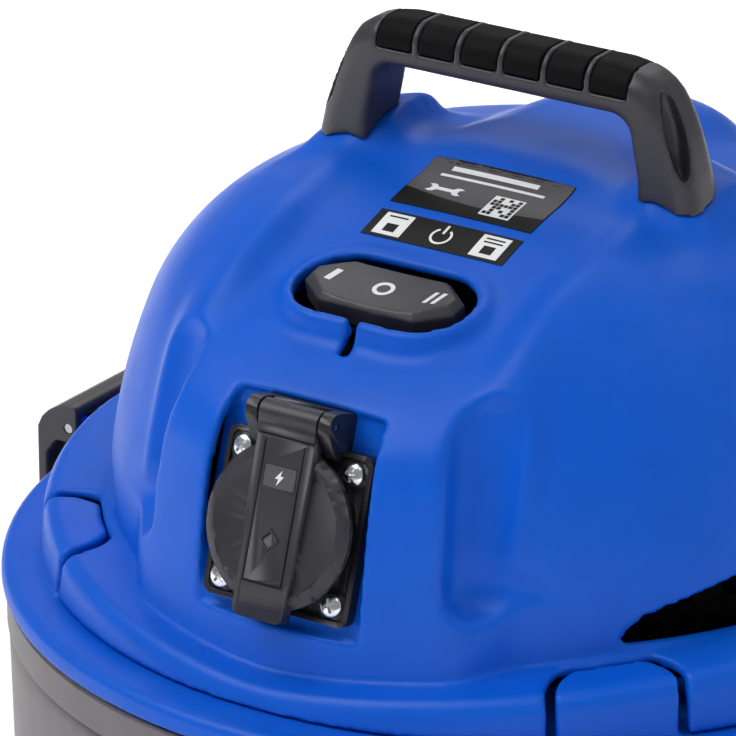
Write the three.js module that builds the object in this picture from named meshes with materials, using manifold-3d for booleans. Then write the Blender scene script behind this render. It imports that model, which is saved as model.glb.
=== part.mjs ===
// A wet and dry shop vacuum: a round tank on four castors, and a lift-off motor head that two side latches
// hold down. The head carries a handle, a three-way rocker switch, a power-tool socket with a sprung lid,
// the motor and its fan, and the filter with its float.
//
// Millimetres, +Z up, front towards -Y, origin on the floor below the middle of the tank.
// Everything on the head is built in the head's own frame, whose z = 0 is the lower edge of the lid ring.

import * as THREE from "three";
import { mergeVertices } from "three/addons/utils/BufferGeometryUtils.js";
import Module from "manifold-3d";

const wasm = await Module();
wasm.setup();

// ---------------------------------------------------------------- driving dimensions
const GAP = 0.3; // between pieces that touch
const RIM_Z = 318; // height of the lid ring's lower edge above the floor

const TANK = {
  topRadius: 155.5, bottomRadius: 150, wall: 2.6, rimWidth: 7, rimDepth: 4, rimDrop: 1.2,
  height: 270, floorRound: 9, floorWall: 3.4,
};
const INLET = {
  height: -72, tubeRadius: 25, boreRadius: 19.5, reach: 172, flangeRadius: 35, flangeFace: 161,
};
const LUG = { reach: 4, halfWidth: 12, top: -7, bottom: -11.6 };
const BASE = {
  bottom: 46, plate: 3.4, rimRadius: 156.5, rimWall: 3.2, rimTop: 68, stemRadius: 207, armHalfWidth: 24,
  armTop: 66, skin: 3, bossRadius: 9.5, stemClearance: 0.2,
};
const CASTOR = {
  wheelRadius: 20, wheelWidth: 15, trail: 12, stem: 4.5, stemTop: 61, cheek: 2.4, axle: 2.5,
};
const RING = {
  radius: 157, wall: 3.2, shoulder: 4.5, shelfTop: 8, shelfThickness: 3.2, shelfInner: 104, tongueInner: 121,
};
const DECK = { edgeRadius: 145, creaseRadius: 141.5, frontHeight: 13, sideRise: 16, seat: 8.3 };
const TONGUE = { angle: 43.7, halfWidth: 17.5, gap: 2.6 };
const SHELL = 3; // wall of the motor cover
const NOSE = {
  halfWidth: 62, baseRadius: 132, bulge: 0.0022, bulgeFrom: 20, top: 129.3, slope: 0.372, bend: 35,
};
const PANEL = { halfWidth: 45, from: -10 }; // the flat front face between the handle's feet
const PYLON = {
  x: 58, y: -4, halfX: 10.5, ahead: 9.5, behind: 24, top: 131, outwards: 0.3, backwards: 0.35, fall: 0.42,
};
const FLANK = { baseRadius: 124, bulge: 0.003, bulgeFrom: 21, top: 131, crown: 0.0016 };
const SPINE = { halfWidth: 25, top: 134.5, from: -2, ramp: 0.6 };
const SWITCH = {
  y: -74, z: 112.5, tilt: 12, halfRun: 13.5, wellRadius: 15.4, lip: 3, capLength: 51.2, capWidth: 21.2,
};
const SOCKET = {
  y: -122.3, z: 57, tilt: 72.3, flange: 50, plate: 3, screwPitch: 38, wellRadius: 19.6, wellDepth: 17.5,
  bodyRadius: 21.6, bodyDepth: 34, recessHalfWidth: 28.5, recessLow: -28.5, recessHigh: 37,
  lidRadius: 24.5, lidThickness: 4.2, strapHalfWidth: 10, tabHalfWidth: 8.5, hingeHalfWidth: 14.5, hingeV: 31.5, hingeN: 7,
};
const VENT = { endY: 86, top: 50, floor: 28.4, grilleRadius: 108, grilleWall: 2.5, grilleHalfAngle: 46 };
const HANDLE = {
  y: -4, depth: 20, foot: 69, top: 170.8, underside: 156.2, innerFoot: 48, innerTop: 44.5, innerCorner: 7,
  shoulder: 163.6, padHalf: 44.5, padDepth: 2.4, slotDepth: 6,
};
const LABEL = {
  width: 49, thickness: 0.5, lift: 0.3, upper: { y: -22, length: 25.6 }, lower: { y: -44, length: 12 },
};
const LATCH = {
  pivotX: 153.5, pivotZ: 16.5, pinRadius: 1.5, pinClearance: 0.2, halfWidth: 22.5, cheek: 3, outer: 165.8,
  inner: 161.8, hookHalf: 13, earInner: 15, earOuter: 18.6, earRadius: 3.4,
};
const HEAD_BASE = { radius: 147, top: -3, thickness: 3, hole: 22, lipTop: 4.4, seatRadius: 60, seatTop: 6 };
const MOTOR = {
  canRadius: 57, canLow: 1.3, canTop: 34, canWall: 1.5, eye: 26, impellerRadius: 50, shaft: 4, shaftLow: 12,
  shaftTop: 116, bearing: 11, bearingWidth: 7, coreRadius: 21, coreLow: 52, coreTop: 86, airGap: 1.2,
  statorRadius: 36, statorLow: 50, statorTop: 88, commutator: 11, commLow: 91, commTop: 102,
};
const CAGE = { radius: 50, bar: 4, bars: 6, flange: 60, flangeTop: -6.3, bottom: -113, shelf: -68 };
const FLOAT_RADIUS = 26;
const FILTER = { inner: 52.5, outer: 75, pleats: 30, pleatDepth: 9, top: -12, bottom: -116, capRadius: 77 };
const GLAND = { z: 40, radius: 9, bore: 3.8, out: 22, flange: 14 };

const rad = THREE.MathUtils.degToRad;

// ---------------------------------------------------------------- materials
const plastic = (color, roughness = 0.45) => new THREE.MeshStandardMaterial(
  { color, roughness, metalness: 0 },
);
const metal = (color, roughness = 0.3) => new THREE.MeshStandardMaterial(
  { color, roughness, metalness: 1 },
);
const BLUE = plastic(0x0462d2, 0.38);
const TANK_GREY = plastic(0x4b484c, 0.5);
const DARK = plastic(0x3a383d, 0.5);
const BLACK = plastic(0x0d0d0f, 0.65);
const RUBBER = plastic(0x161617, 0.9);
const STEEL = metal(0xc9ccd0, 0.28);
const COPPER = metal(0xb56a3a, 0.35);
const PAPER = plastic(0xe9e4d6, 0.9);
const LABEL_FACE = plastic(0x121214, 0.3);
const FLOAT_WHITE = plastic(0xe8e8e4, 0.4);

// ---------------------------------------------------------------- solids
// A closed BufferGeometry as a manifold-3d solid.
function solid(geometry) {
  const bare = geometry.clone();
  for (const name of Object.keys(bare.attributes)) if (name !== "position") bare.deleteAttribute(name);
  const merged = mergeVertices(bare, 1e-4);
  return new wasm.Manifold(
    new wasm.Mesh({
      numProp: 3,
      vertProperties: new Float32Array(merged.attributes.position.array),
      triVerts: new Uint32Array(merged.index.array),
    }),
  );
}

function geometryOf(made) {
  const mesh = made.getMesh();
  const positions = new Float32Array(mesh.numVert * 3);
  for (let i = 0; i < mesh.numVert; i++)
    positions.set(mesh.vertProperties.subarray(i * mesh.numProp, i * mesh.numProp + 3), i * 3);
  return new THREE.BufferGeometry()
    .setAttribute("position", new THREE.BufferAttribute(positions, 3))
    .setIndex(new THREE.BufferAttribute(mesh.triVerts, 1));
}

const addAll = (...parts) => parts.reduce((sum, part) => sum.add(part));
const cutAll = (body, ...tools) => tools.reduce((left, tool) => left.subtract(tool), body);

// A solid of revolution about Z from its (radius, z) outline, given in either direction.
function turned(outline, segments = 64) {
  let area = 0;
  outline.forEach(([r, z], i) => {
    const [r2, z2] = outline[(i + 1) % outline.length];
    area += r * z2 - r2 * z;
  });
  const points = (area > 0 ? outline : [...outline].reverse()).map(([r, z]) => new THREE.Vector2(r, z));
  const onAxis = points.some((p) => p.x === 0);
  if (onAxis) {
    while (!(points[0].x === 0 && points[points.length - 1].x === 0)) points.push(points.shift());
  } else points.push(points[0].clone());
  return solid(new THREE.LatheGeometry(points, segments).rotateX(Math.PI / 2));
}

const cylinder = (radius, low, high, segments = 24, x = 0, y = 0) =>
  solid(
    new THREE.CylinderGeometry(radius, radius, high - low, segments)
      .rotateX(Math.PI / 2)
      .translate(x, y, (low + high) / 2),
  );

const box = (low, high) =>
  solid(
    new THREE.BoxGeometry(...low.map((v, i) => high[i] - v)).translate(
      ...low.map((v, i) => (v + high[i]) / 2),
    ),
  );

// An outline of [x, y] points, extruded from z = low to z = high.
function prism(outline, low, high) {
  const shape = new THREE.Shape(outline.map(([x, y]) => new THREE.Vector2(x, y)));
  return solid(
    new THREE.ExtrudeGeometry(shape, { depth: high - low, bevelEnabled: false }).translate(0, 0, low),
  );
}

// An outline of [x, z] points, extruded along Y from low to high.
const slab = (outline, low, high) =>
  prism(outline.map(([x, z]) => [x, z]), -high, -low).rotate([90, 0, 0]);

// Points of an arc from one angle to another, in degrees.
function arc(cx, cy, radius, from, to, steps) {
  return Array.from({ length: steps + 1 }, (_, i) => {
    const a = rad(from + ((to - from) * i) / steps);
    return [cx + radius * Math.cos(a), cy + radius * Math.sin(a)];
  });
}

const roundedRectangle = (halfX, halfY, corner, steps = 3) => [
  ...arc(halfX - corner, halfY - corner, corner, 0, 90, steps),
  ...arc(-halfX + corner, halfY - corner, corner, 90, 180, steps),
  ...arc(-halfX + corner, -halfY + corner, corner, 180, 270, steps),
  ...arc(halfX - corner, -halfY + corner, corner, 270, 360, steps),
];

const stadium = (halfRun, radius, steps = 8) => [
  ...arc(halfRun, 0, radius, -90, 90, steps),
  ...arc(-halfRun, 0, radius, 90, 270, steps),
];

// A solid of revolution whose (radius, z) outline changes with the angle. Each outline has the same number of
// points and either closes on itself or starts and ends on the axis.
function sweptRound(outlineAt, columns, closed) {
  const outlines = Array.from({ length: columns }, (_, j) => outlineAt((j / columns) * 2 * Math.PI));
  const rows = outlines[0].length;
  const positions = [];
  const index = [];
  outlines.forEach((outline, j) => {
    const angle = (j / columns) * 2 * Math.PI;
    outline.forEach(([r, z]) => positions.push(r * Math.cos(angle), r * Math.sin(angle), z));
  });
  const at = (j, i) => (j % columns) * rows + (i % rows);
  const last = closed ? rows : rows - 1;
  for (let j = 0; j < columns; j++)
    for (let i = 0; i < last; i++) {
      index.push(at(j, i), at(j + 1, i), at(j + 1, i + 1));
      index.push(at(j, i), at(j + 1, i + 1), at(j, i + 1));
    }
  return solid(
    new THREE.BufferGeometry()
      .setAttribute("position", new THREE.BufferAttribute(new Float32Array(positions), 3))
      .setIndex(index),
  );
}

// ---------------------------------------------------------------- the head's outer surface
const softMax = (a, b, k) => Math.max(a, b) + (Math.max(k - Math.abs(a - b), 0) ** 2 / k) * 0.25;
const softMin = (a, b, k) => -softMax(-a, -b, k);
const deckHeight = (x) => DECK.frontHeight + DECK.sideRise * Math.hypot(x / 142, 0.1);

// The height of the sloping front face of the nose at a given y.
function noseTop(y) {
  const run = Math.max(0, -y - 2);
  const { top, slope, bend } = NOSE;
  return top - slope * (run < bend ? run ** 2 / (2 * bend) : run - bend / 2);
}

// Turns a head-frame point into the switch platform's frame: across, along the slope, and above it.
function onPlatform(x, y, z) {
  const [c, s] = [Math.cos(rad(SWITCH.tilt)), Math.sin(rad(SWITCH.tilt))];
  const [dy, dz] = [y - SWITCH.y, z - SWITCH.z];
  return [x, dy * c + dz * s, dz * c - dy * s];
}

// About the distance from the dome's skin: negative inside.
function dome(x, y, z) {
  const r = Math.hypot(x, y);
  const bulge = (part) => part.baseRadius - part.bulge * Math.max(z - part.bulgeFrom, 0) ** 2;
  const flank = softMax(r - bulge(FLANK), z - (FLANK.top - FLANK.crown * r * r), 26);
  const noseSides = softMax(Math.abs(x) - NOSE.halfWidth, r - bulge(NOSE), 12);
  const nose = softMax(softMax(noseSides, z - noseTop(y), 20), y - 14, 12);
  const spineTop = softMax(
    z - (SPINE.top - 0.0022 * Math.max(0, y - 35) ** 2),
    z - 130 - SPINE.ramp * (y - SPINE.from),
    8,
  );
  const spine = softMax(softMax(Math.abs(x) - SPINE.halfWidth, r - bulge(FLANK) + 2, 14), spineTop, 16);
  const [a, b, h] = onPlatform(x, y, z);
  const beyond = Math.hypot(Math.max(Math.abs(a) - SWITCH.halfRun, 0), b);
  const collar = softMax(beyond - SWITCH.wellRadius - SWITCH.lip, h, 2);
  const { x: px, y: py, outwards, backwards, fall } = PYLON;
  const rise = softMin(backwards * (y - py), 5.5 - fall * (y - 10), 6);
  const pylonTop = z - PYLON.top + outwards * (Math.abs(x) - px) - rise;
  const ends = softMax(py - PYLON.ahead - y, y - PYLON.behind, 8);
  const pylonSides = softMax(Math.abs(Math.abs(x) - px) - PYLON.halfX, ends, 8);
  const pylon = softMax(pylonSides, pylonTop, 3);
  const body = softMin(softMin(softMin(flank, nose, 7), spine, 12), pylon, 12);
  const panel = softMax(softMax(Math.abs(x) - PANEL.halfWidth, noseTop(y) - z, 6), y - PANEL.from, 8);
  return softMin(softMax(body, -panel, 6), softMax(collar, -h - 20, 2), 4);
}

// The distance along a ray from (0, 0, DOME_EYE) to where the skin, moved out by offset, is met.
const DOME_EYE = 20;
function domeReach(angle, climb, offset) {
  const [cx, cy, cz] = [
    Math.cos(climb) * Math.cos(angle),
    Math.cos(climb) * Math.sin(angle),
    Math.sin(climb),
  ];
  let [low, high] = [20, 180];
  for (let i = 0; i < 40; i++) {
    const t = (low + high) / 2;
    if (dome(cx * t, cy * t, DOME_EYE + cz * t) < offset) low = t;
    else high = t;
  }
  return (low + high) / 2;
}

// The (radius, z) outline of the dome at one angle, from its foot at height foot up to the axis.
function domeOutline(angle, offset, foot, steps) {
  const wall = domeReach(angle, 0, offset);
  const from = Math.atan2(foot - DOME_EYE, wall);
  const points = steps.map((share) => {
    const climb = from + (Math.PI / 2 - from) * share;
    const reach = domeReach(angle, climb, offset);
    return [share === 1 ? 0 : reach * Math.cos(climb), DOME_EYE + reach * Math.sin(climb)];
  });
  return points;
}

const OUTER_STEPS = [0, 0.1, 0.21, 0.31, 0.38, 0.44, 0.49, 0.54, 0.6, 0.68, 0.82, 1];
const INNER_STEPS = [0, 0.24, 0.4, 0.5, 0.64, 1];
const COVER_COLUMNS = 48;
const deckTopAt = (angle) => deckHeight(DECK.creaseRadius * Math.cos(angle));

// The solid inside the dome's skin moved out by offset, down to z = 0, with the same facets as the cover.
const domeSolid = (offset) =>
  sweptRound(
    (angle) => {
      const wall = domeOutline(angle, offset, deckTopAt(angle) + 1.2, OUTER_STEPS);
      return [[0, 0], [wall[0][0], 0], ...wall];
    },
    COVER_COLUMNS,
    false,
  );

// The outline of one deck tongue or, with a gap, of the notch that it stands in.
function tongueOutline(gap) {
  const half = TONGUE.halfWidth + gap;
  const far = RING.radius + 10;
  const outline = [...arc(DECK.creaseRadius, 0, half, 90, 270, 8), [far, -half], [far, half]];
  return outline;
}

const atCorners = (make) => [0, 1, 2, 3].map((i) => make(TONGUE.angle + 90 * i));

// ---------------------------------------------------------------- head: covers
function makeMotorCover() {
  const shell = sweptRound(
    (angle) => {
      const top = deckTopAt(angle);
      const { creaseRadius: crease, edgeRadius: edge } = DECK;
      const outer = domeOutline(angle, 0, top + 1.2, OUTER_STEPS);
      const inner = domeOutline(angle, -SHELL, top - SHELL + 1, INNER_STEPS);
      return [
        ...inner.reverse(),
        [crease - SHELL, top - SHELL],
        [edge - SHELL, DECK.seat],
        [edge, DECK.seat],
        [crease + 0.8, top - 1.6],
        [crease, top],
        [outer[0][0] + 2.2, top + 0.3],
        ...outer,
      ];
    },
    COVER_COLUMNS,
    false,
  );
  const notches = atCorners((angle) => prism(tongueOutline(TONGUE.gap), 0, 60).rotate([0, 0, angle]));
  const noNotchAbove = domeSolid(2.5);
  const notchTools = notches.map((tool) => tool.subtract(noNotchAbove));
  const recess = onSocket(
    prism(
      [
        [-SOCKET.recessHalfWidth, SOCKET.recessLow],
        [SOCKET.recessHalfWidth, SOCKET.recessLow],
        [SOCKET.recessHalfWidth - 3, SOCKET.recessHigh],
        [-SOCKET.recessHalfWidth + 3, SOCKET.recessHigh],
      ],
      -SOCKET.plate - GAP,
      30,
    ),
  );
  const socketHole = onSocket(cylinder(SOCKET.bodyRadius + 0.5, -20, 5, 24));
  const well = onSwitch(prism(stadium(SWITCH.halfRun, SWITCH.wellRadius), -20, 20));
  const drain = box([-1.5, SWITCH.y - 30, 99], [1.5, SWITCH.y - SWITCH.wellRadius + 1, SWITCH.z + 5]);
  const vents = [0, 180].map((turn) => ventTool().rotate([0, 0, turn]));
  const glandHole = cylinder(GLAND.radius - 2, 100, 140, 20).rotate([-90, 0, 0]).translate([0, 0, GLAND.z]);
  return cutAll(shell, ...notchTools, recess).add(makeSocketBacking()).subtract(
    addAll(socketHole, well, drain, ...vents, glandHole),
  );
}

// The pad behind the socket's flange, which backs the recess where it cuts through the cover's wall.
function makeSocketBacking() {
  const face = -SOCKET.plate - GAP;
  const pad = prism(
    roundedRectangle(SOCKET.recessHalfWidth + 2, 34, 4),
    face - SHELL,
    face,
  ).translate([0, 3, 0]);
  return onSocket(pad.subtract(cylinder(SOCKET.bodyRadius + 0.5, -20, 5, 24)));
}

// The arched opening over the deck on the +X side.
function ventTool() {
  const { endY, top, floor } = VENT;
  const rise = top - floor;
  const front = [
    [-endY, floor], [-endY + 3, floor + rise * 0.25], [
      -endY + 9,
      floor + rise * 0.42,
    ], [-endY + 22, floor + rise * 0.58],
    [-endY + 46, floor + rise * 0.82], [-endY + 70, floor + rise * 0.97],
  ];
  const back = [...front].reverse().map(([y, z]) => [-y, z]);
  return prism([...front, ...back], 60, 150).rotate([90, 0, 90]);
}

function onSocket(part) {
  return part.rotate([SOCKET.tilt, 0, 0]).translate([0, SOCKET.y, SOCKET.z]);
}

function onSwitch(part) {
  return part.rotate([SWITCH.tilt, 0, 0]).translate([0, SWITCH.y, SWITCH.z]);
}

function makeLidRing() {
  const { radius, wall, shoulder, shelfTop, shelfThickness, shelfInner, tongueInner } = RING;
  const ring = turned([
    [radius, 0], [radius, shoulder], [radius - 1.6, shoulder + 2.2], [radius - 5, shelfTop - 0.4],
    [DECK.edgeRadius, shelfTop], [shelfInner, shelfTop], [shelfInner, shelfTop - shelfThickness],
    [radius - wall, shelfTop - shelfThickness], [radius - wall, 0],
  ], COVER_COLUMNS);
  const deckBlock = sweptRound(
    (angle) => {
      const top = deckTopAt(angle);
      const { creaseRadius: crease, edgeRadius: edge } = DECK;
      return [
        [tongueInner, shelfTop - 1], [edge, shelfTop - 1], [edge, DECK.seat], [crease + 0.8, top - 1.6],
        [crease, top], [tongueInner, top],
      ];
    },
    COVER_COLUMNS,
    true,
  );
  const room = deckBlock.subtract(domeSolid(2.5 + 2 * GAP));
  const tongues = atCorners(
    (angle) => prism(tongueOutline(0), 0, 60).rotate([0, 0, angle]).intersect(room),
  );
  const ears = [0, 180].flatMap((turn) =>
    [-1, 1].map((side) => latchEar(side).rotate([0, 0, turn])),
  );
  return addAll(ring, ...tongues, ...ears);
}

function latchEar(side) {
  const { pivotX, pivotZ, earInner, earOuter, earRadius, pinRadius, pinClearance } = LATCH;
  const outline = [
    [pivotX + earRadius, RING.shelfTop - 2.4],
    ...arc(pivotX, pivotZ, earRadius, 0, 180, 8),
    [pivotX - earRadius, RING.shelfTop - 2.4],
  ];
  const [low, high] = side > 0 ? [earInner, earOuter] : [-earOuter, -earInner];
  return slab(outline, low, high).subtract(
    alongY(pinRadius + pinClearance, low - 1, high + 1, pivotX, pivotZ),
  );
}

const alongY = (radius, low, high, x, z, segments = 12) =>
  cylinder(radius, -high, -low, segments).rotate([90, 0, 0]).translate([x, 0, z]);

function makeLidSeal() {
  const low = -TANK.rimDrop + GAP;
  const high = RING.shelfTop - RING.shelfThickness - GAP;
  return turned([[147.6, low], [153.2, low], [153.2, high], [147.6, high]], 40);
}

function makeHeadBase() {
  const { radius, top, thickness, hole, lipTop, seatRadius, seatTop } = HEAD_BASE;
  return turned([
    [hole, top - thickness], [radius, top - thickness], [radius, lipTop], [radius - 4, lipTop], [radius - 4, top],
    [seatRadius + 3, top], [seatRadius + 3, seatTop], [seatRadius, seatTop], [seatRadius, top], [hole, top],
  ], 36);
}

// A louvred screen inside the arched opening of one side.
function makeVentGrille(turn) {
  const { grilleRadius: r, grilleWall: w, grilleHalfAngle: half } = VENT;
  const outline = [...arc(0, 0, r, -half, half, 12), ...arc(0, 0, r - w, half, -half, 12)];
  const slots = [-33, -22, -11, 0, 11, 22, 33].map((a) =>
    box([r - 12, -5.4, 31], [r + 6, 5.4, 47]).rotate([0, 0, a]),
  );
  return cutAll(prism(outline, RING.shelfTop + GAP, 56), ...slots).rotate([0, 0, turn]);
}

// ---------------------------------------------------------------- head: handle
// Half of the handle's front outline, from the foot up to the middle of the grip, as [x, z].
function handleOutline() {
  const { foot, top, underside, innerFoot, innerTop, innerCorner } = HANDLE;
  const low = 112;
  const outer = [
    [foot + 2, low], [foot - 3, top - 37], [foot - 6, top - 25], [foot - 9.5, top - 15], [foot - 14, top - 7],
    [foot - 20, top - 2.6], [foot - 30, top],
  ];
  const inner = [
    ...arc(innerTop - innerCorner, underside - innerCorner, innerCorner, 90, 0, 4),
    [innerFoot, low],
  ];
  return { outer, inner };
}

const mirrored = (points) => [...points].reverse().map(([x, z]) => [-x, z]);

// The cross-section of the grip, as [y, z], with its crown moved down by inset.
function gripSection(inset) {
  const { y, depth, shoulder, top } = HANDLE;
  const half = depth / 2 - inset * 0.6;
  return [
    [y - half, 100], [y - half, shoulder - inset], [y - half + 3, top - 2.6 - inset], [y - 3, top - inset],
    [y + 3, top - inset], [y + half - 3, top - 2.6 - inset], [y + half, shoulder - inset], [y + half, 100],
  ];
}

const alongGrip = (section, half) => prism(section, -half, half).rotate([90, 0, 90]);

function makeHandleBlank() {
  const { y, depth } = HANDLE;
  const { outer, inner } = handleOutline();
  const frame = slab(
    [...outer, ...mirrored(outer), ...mirrored(inner), ...inner],
    y - depth / 2,
    y + depth / 2,
  );
  return frame.intersect(alongGrip(gripSection(0), 100));
}

// The room over the grip's core that the soft pad fills, as wide as the pad plus gap on every side.
function gripRoom(gap) {
  const { padHalf, padDepth, shoulder, y, depth } = HANDLE;
  const core = alongGrip(gripSection(padDepth + gap), 100);
  const [halfY, low] = [depth / 2 - 1.4 + gap, shoulder - 2 * padDepth];
  return box([-padHalf - gap, y - halfY, low], [padHalf + gap, y + halfY, 200]).subtract(core);
}

function makeHandle() {
  const { y, slotDepth } = HANDLE;
  const pockets = [-1, 1].map((side) =>
    prism(stadium(10, 3, 4), 0, 30)
      .rotate([0, 0, 90])
      .rotate([90, 0, 90])
      .rotate([0, -16, 0])
      .translate([HANDLE.foot - 3 - slotDepth, y, 149])
      .rotate([0, 0, side > 0 ? 0 : 180]),
  );
  return cutAll(makeHandleBlank(), gripRoom(0), ...pockets, domeSolid(GAP));
}

const makeGripPad = () => makeHandleBlank().intersect(gripRoom(-GAP));

// A thin sticker that follows the dome's top.
function makeLabel({ y, length }) {
  const half = (length * 0.96) / 2;
  const sheet = box([-LABEL.width / 2, y - half, 100], [LABEL.width / 2, y + half, 160]);
  return sheet.intersect(domeSolid(LABEL.lift + LABEL.thickness)).subtract(domeSolid(LABEL.lift));
}

// ---------------------------------------------------------------- head: switch
const ROCKER_PIVOT = -9.5; // height of the rocker's pivot above the platform

function makeRockerCap() {
  const { capLength, capWidth } = SWITCH;
  const [l, w] = [capLength / 2, capWidth / 2];
  const plan = [
    [l, -w + 7], [l, w - 7], [l - 9, w], [-l + 9, w], [-l, w - 7], [-l, -w + 7], [-l + 9, -w], [l - 9, -w],
  ];
  const side = [
    [-l - 1, -6.5], [l + 1, -6.5], [l + 1, 1.6], [l - 5, 2.4], [l - 17, 0.6], [0, -0.4], [-l + 17, 0.6],
    [-l + 5, 2.4], [-l - 1, 1.6],
  ];
  const trunnion = slab([[-3.4, -12], [3.4, -12], [3.4, -6], [-3.4, -6]], -6, 6);
  const cap = addAll(slab(side, -w - 1, w + 1).intersect(prism(plan, -8, 6)), trunnion);
  return onSwitch(cap.subtract(alongY(1.2, -20, 20, 0, ROCKER_PIVOT, 12)));
}

const makeRockerPin = () => onSwitch(alongY(1, -11.4, 11.4, 0, ROCKER_PIVOT, 12));

// The switch's frame and body: a bezel below the well, a rocker bay, and the contact block.
function makeSwitchBody() {
  const bezel = prism(stadium(SWITCH.halfRun, SWITCH.wellRadius - GAP), -17, -14);
  const block = prism(roundedRectangle(17, 12.5, 2, 1), -32, -15);
  const cheeks = [-1, 1].map((side) => box([-5, side > 0 ? 9 : -12, -15], [5, side > 0 ? 12 : -9, -7.2]));
  const bay = box([-12, -8, -22], [12, 8, 0]);
  const pinHole = alongY(1.3, -20, 20, 0, ROCKER_PIVOT, 12);
  return onSwitch(cutAll(addAll(bezel, block, ...cheeks), bay, pinHole));
}

// ---------------------------------------------------------------- head: socket
const socketCorner = SOCKET.screwPitch / 2;
const corners = [[-1, 1], [1, 1], [1, -1], [-1, -1]];

function makeSocketFlange() {
  const {
    flange, plate, wellRadius, wellDepth, bodyRadius, bodyDepth, hingeHalfWidth, hingeV, hingeN,
  } = SOCKET;
  const half = flange / 2;
  const face = prism(roundedRectangle(half, half, 3), -plate, 0);
  const body = cylinder(bodyRadius, -bodyDepth, 1.4, 24);
  const rim = turned([[wellRadius, 0], [bodyRadius + 1, 0], [bodyRadius + 1, 3.4], [wellRadius, 3.4]], 24);
  const block = box([-hingeHalfWidth, half - 2, -plate], [hingeHalfWidth, hingeV + 4.2, hingeN + 4]);
  const bayHalf = SOCKET.strapHalfWidth + 0.6;
  const knuckleBay = box([-bayHalf, half - 9, 1.5], [bayHalf, hingeV + 3, hingeN + 6]);
  const swingRoom = box([-bayHalf, hingeV, hingeN - 3], [bayHalf, hingeV + 6, hingeN + 6]);
  const well = cylinder(wellRadius, -wellDepth, 12, 24);
  const pinHoles = [-9.5, 9.5].map((x) => cylinder(2.6, -bodyDepth + 4, 0, 10, x, 0));
  const clips = [-1, 1].map(
    (side) => box(
      [-2.6, side > 0 ? wellRadius - 1 : -wellRadius - 0.6, -wellDepth - 0.01],
      [2.6, side > 0 ? wellRadius + 0.6 : -wellRadius + 1, 4],
    ),
  );
  const screwHoles = corners.map(
    ([i, j]) => cylinder(1.7, -plate - 1, 1, 10, i * socketCorner, j * socketCorner),
  );
  const pinBore = alongX(1.3, -20, 20, hingeV, hingeN);
  return onSocket(
    cutAll(
      addAll(face, body, rim, block), knuckleBay, swingRoom, well, ...pinHoles, ...clips, ...screwHoles,
      pinBore,
    ),
  );
}

const alongX = (radius, low, high, y, z, segments = 12) =>
  cylinder(radius, low, high, segments).rotate([0, 90, 0]).translate([0, y, z]);

function makeSocketLid() {
  const { lidRadius, lidThickness, strapHalfWidth, tabHalfWidth, hingeV, hingeN } = SOCKET;
  const [low, high] = [4, 4 + lidThickness];
  const disc = cylinder(lidRadius, low, high, 32);
  const end = -lidRadius - 3;
  const strap = prism([
    [-tabHalfWidth + 2, end], [tabHalfWidth - 2, end], [tabHalfWidth, end + 2], [strapHalfWidth, hingeV - 3],
    [-strapHalfWidth, hingeV - 3], [-tabHalfWidth, end + 2],
  ], low + 1, high + 1.4);
  const knuckle = alongX(2.6, -strapHalfWidth, strapHalfWidth, hingeV, hingeN, 14);
  const link = box([-strapHalfWidth, hingeV - 5, hingeN - 1], [strapHalfWidth, hingeV, hingeN + 2.6]);
  const springBay = box([-4, hingeV - 3.4, hingeN - 4], [4, hingeV + 4, hingeN + 4]);
  const bore = alongX(1.3, -20, 20, hingeV, hingeN);
  return onSocket(cutAll(addAll(disc, strap, knuckle, link), springBay, bore));
}

const makeHingePin = () => onSocket(
  alongX(1, -SOCKET.hingeHalfWidth + 0.5, SOCKET.hingeHalfWidth - 0.5, SOCKET.hingeV, SOCKET.hingeN),
);

// The lid's return spring: a close coil round the hinge pin.
function makeLidSpring() {
  const [turns, coil, wire] = [4, 2, 0.35];
  class Helix extends THREE.Curve {
    getPoint(t) {
      const a = 2 * Math.PI * turns * t;
      return new THREE.Vector3(-3.2 + 6.4 * t, coil * Math.cos(a), coil * Math.sin(a));
    }
  }
  const section = new THREE.Shape(arc(0, 0, wire, 0, 300, 5).map(([x, y]) => new THREE.Vector2(x, y)));
  const steps = turns * 8;
  const coilSolid = solid(
    new THREE.ExtrudeGeometry(section, { steps, extrudePath: new Helix(), bevelEnabled: false }),
  );
  return onSocket(coilSolid.translate([0, SOCKET.hingeV, SOCKET.hingeN]));
}

function makeScrew(i, j) {
  const [x, y] = [i * socketCorner, j * socketCorner];
  const head = turned([[0, GAP], [3.3, GAP], [3.3, 0.9], [2.4, 1.9], [0, 2.3]], 14);
  const slots = [0, 90].map((a) => box([-2, -0.4, 1.3], [2, 0.4, 4]).rotate([0, 0, a + 20]));
  const shank = cylinder(1.4, -SOCKET.plate - GAP + 0.1, GAP + 0.2, 10);
  return onSocket(cutAll(addAll(head, shank), ...slots).translate([x, y, 0]));
}

// ---------------------------------------------------------------- head: latches
function makeLatch(turn) {
  const { pivotX, pivotZ, pinRadius, pinClearance, halfWidth, cheek, outer, inner, hookHalf } = LATCH;
  const outline = [
    [149.8, 11.5], [149.8, 23], [151, 24.5], [157.5, 23.4], [outer - 1.6, 18.6], [outer, 15.5], [outer - 0.4, -20],
    [outer + 2.4, -31], [outer - 1.4, -31.8], [inner, -20], [inner, 7], [158.2, 11.5],
  ];
  const hollow = [[140, 5], [140, 20.6], [156.6, 20.4], [inner + 0.6, 17.2], [inner, 14], [inner, 5]];
  const body = slab(outline, -halfWidth, halfWidth).subtract(
    slab(hollow, -halfWidth + cheek, halfWidth - cheek),
  );
  const hook = slab(
    [[inner + 1, -18.2], [inner + 1, -12], [inner - 0.5, -12.7], [156.8, -13.2], [156.8, -17]],
    -hookHalf,
    hookHalf,
  );
  const bore = alongY(pinRadius + pinClearance, -halfWidth - 1, halfWidth + 1, pivotX, pivotZ);
  return addAll(body, hook).subtract(bore).rotate([0, 0, turn]);
}

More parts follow.
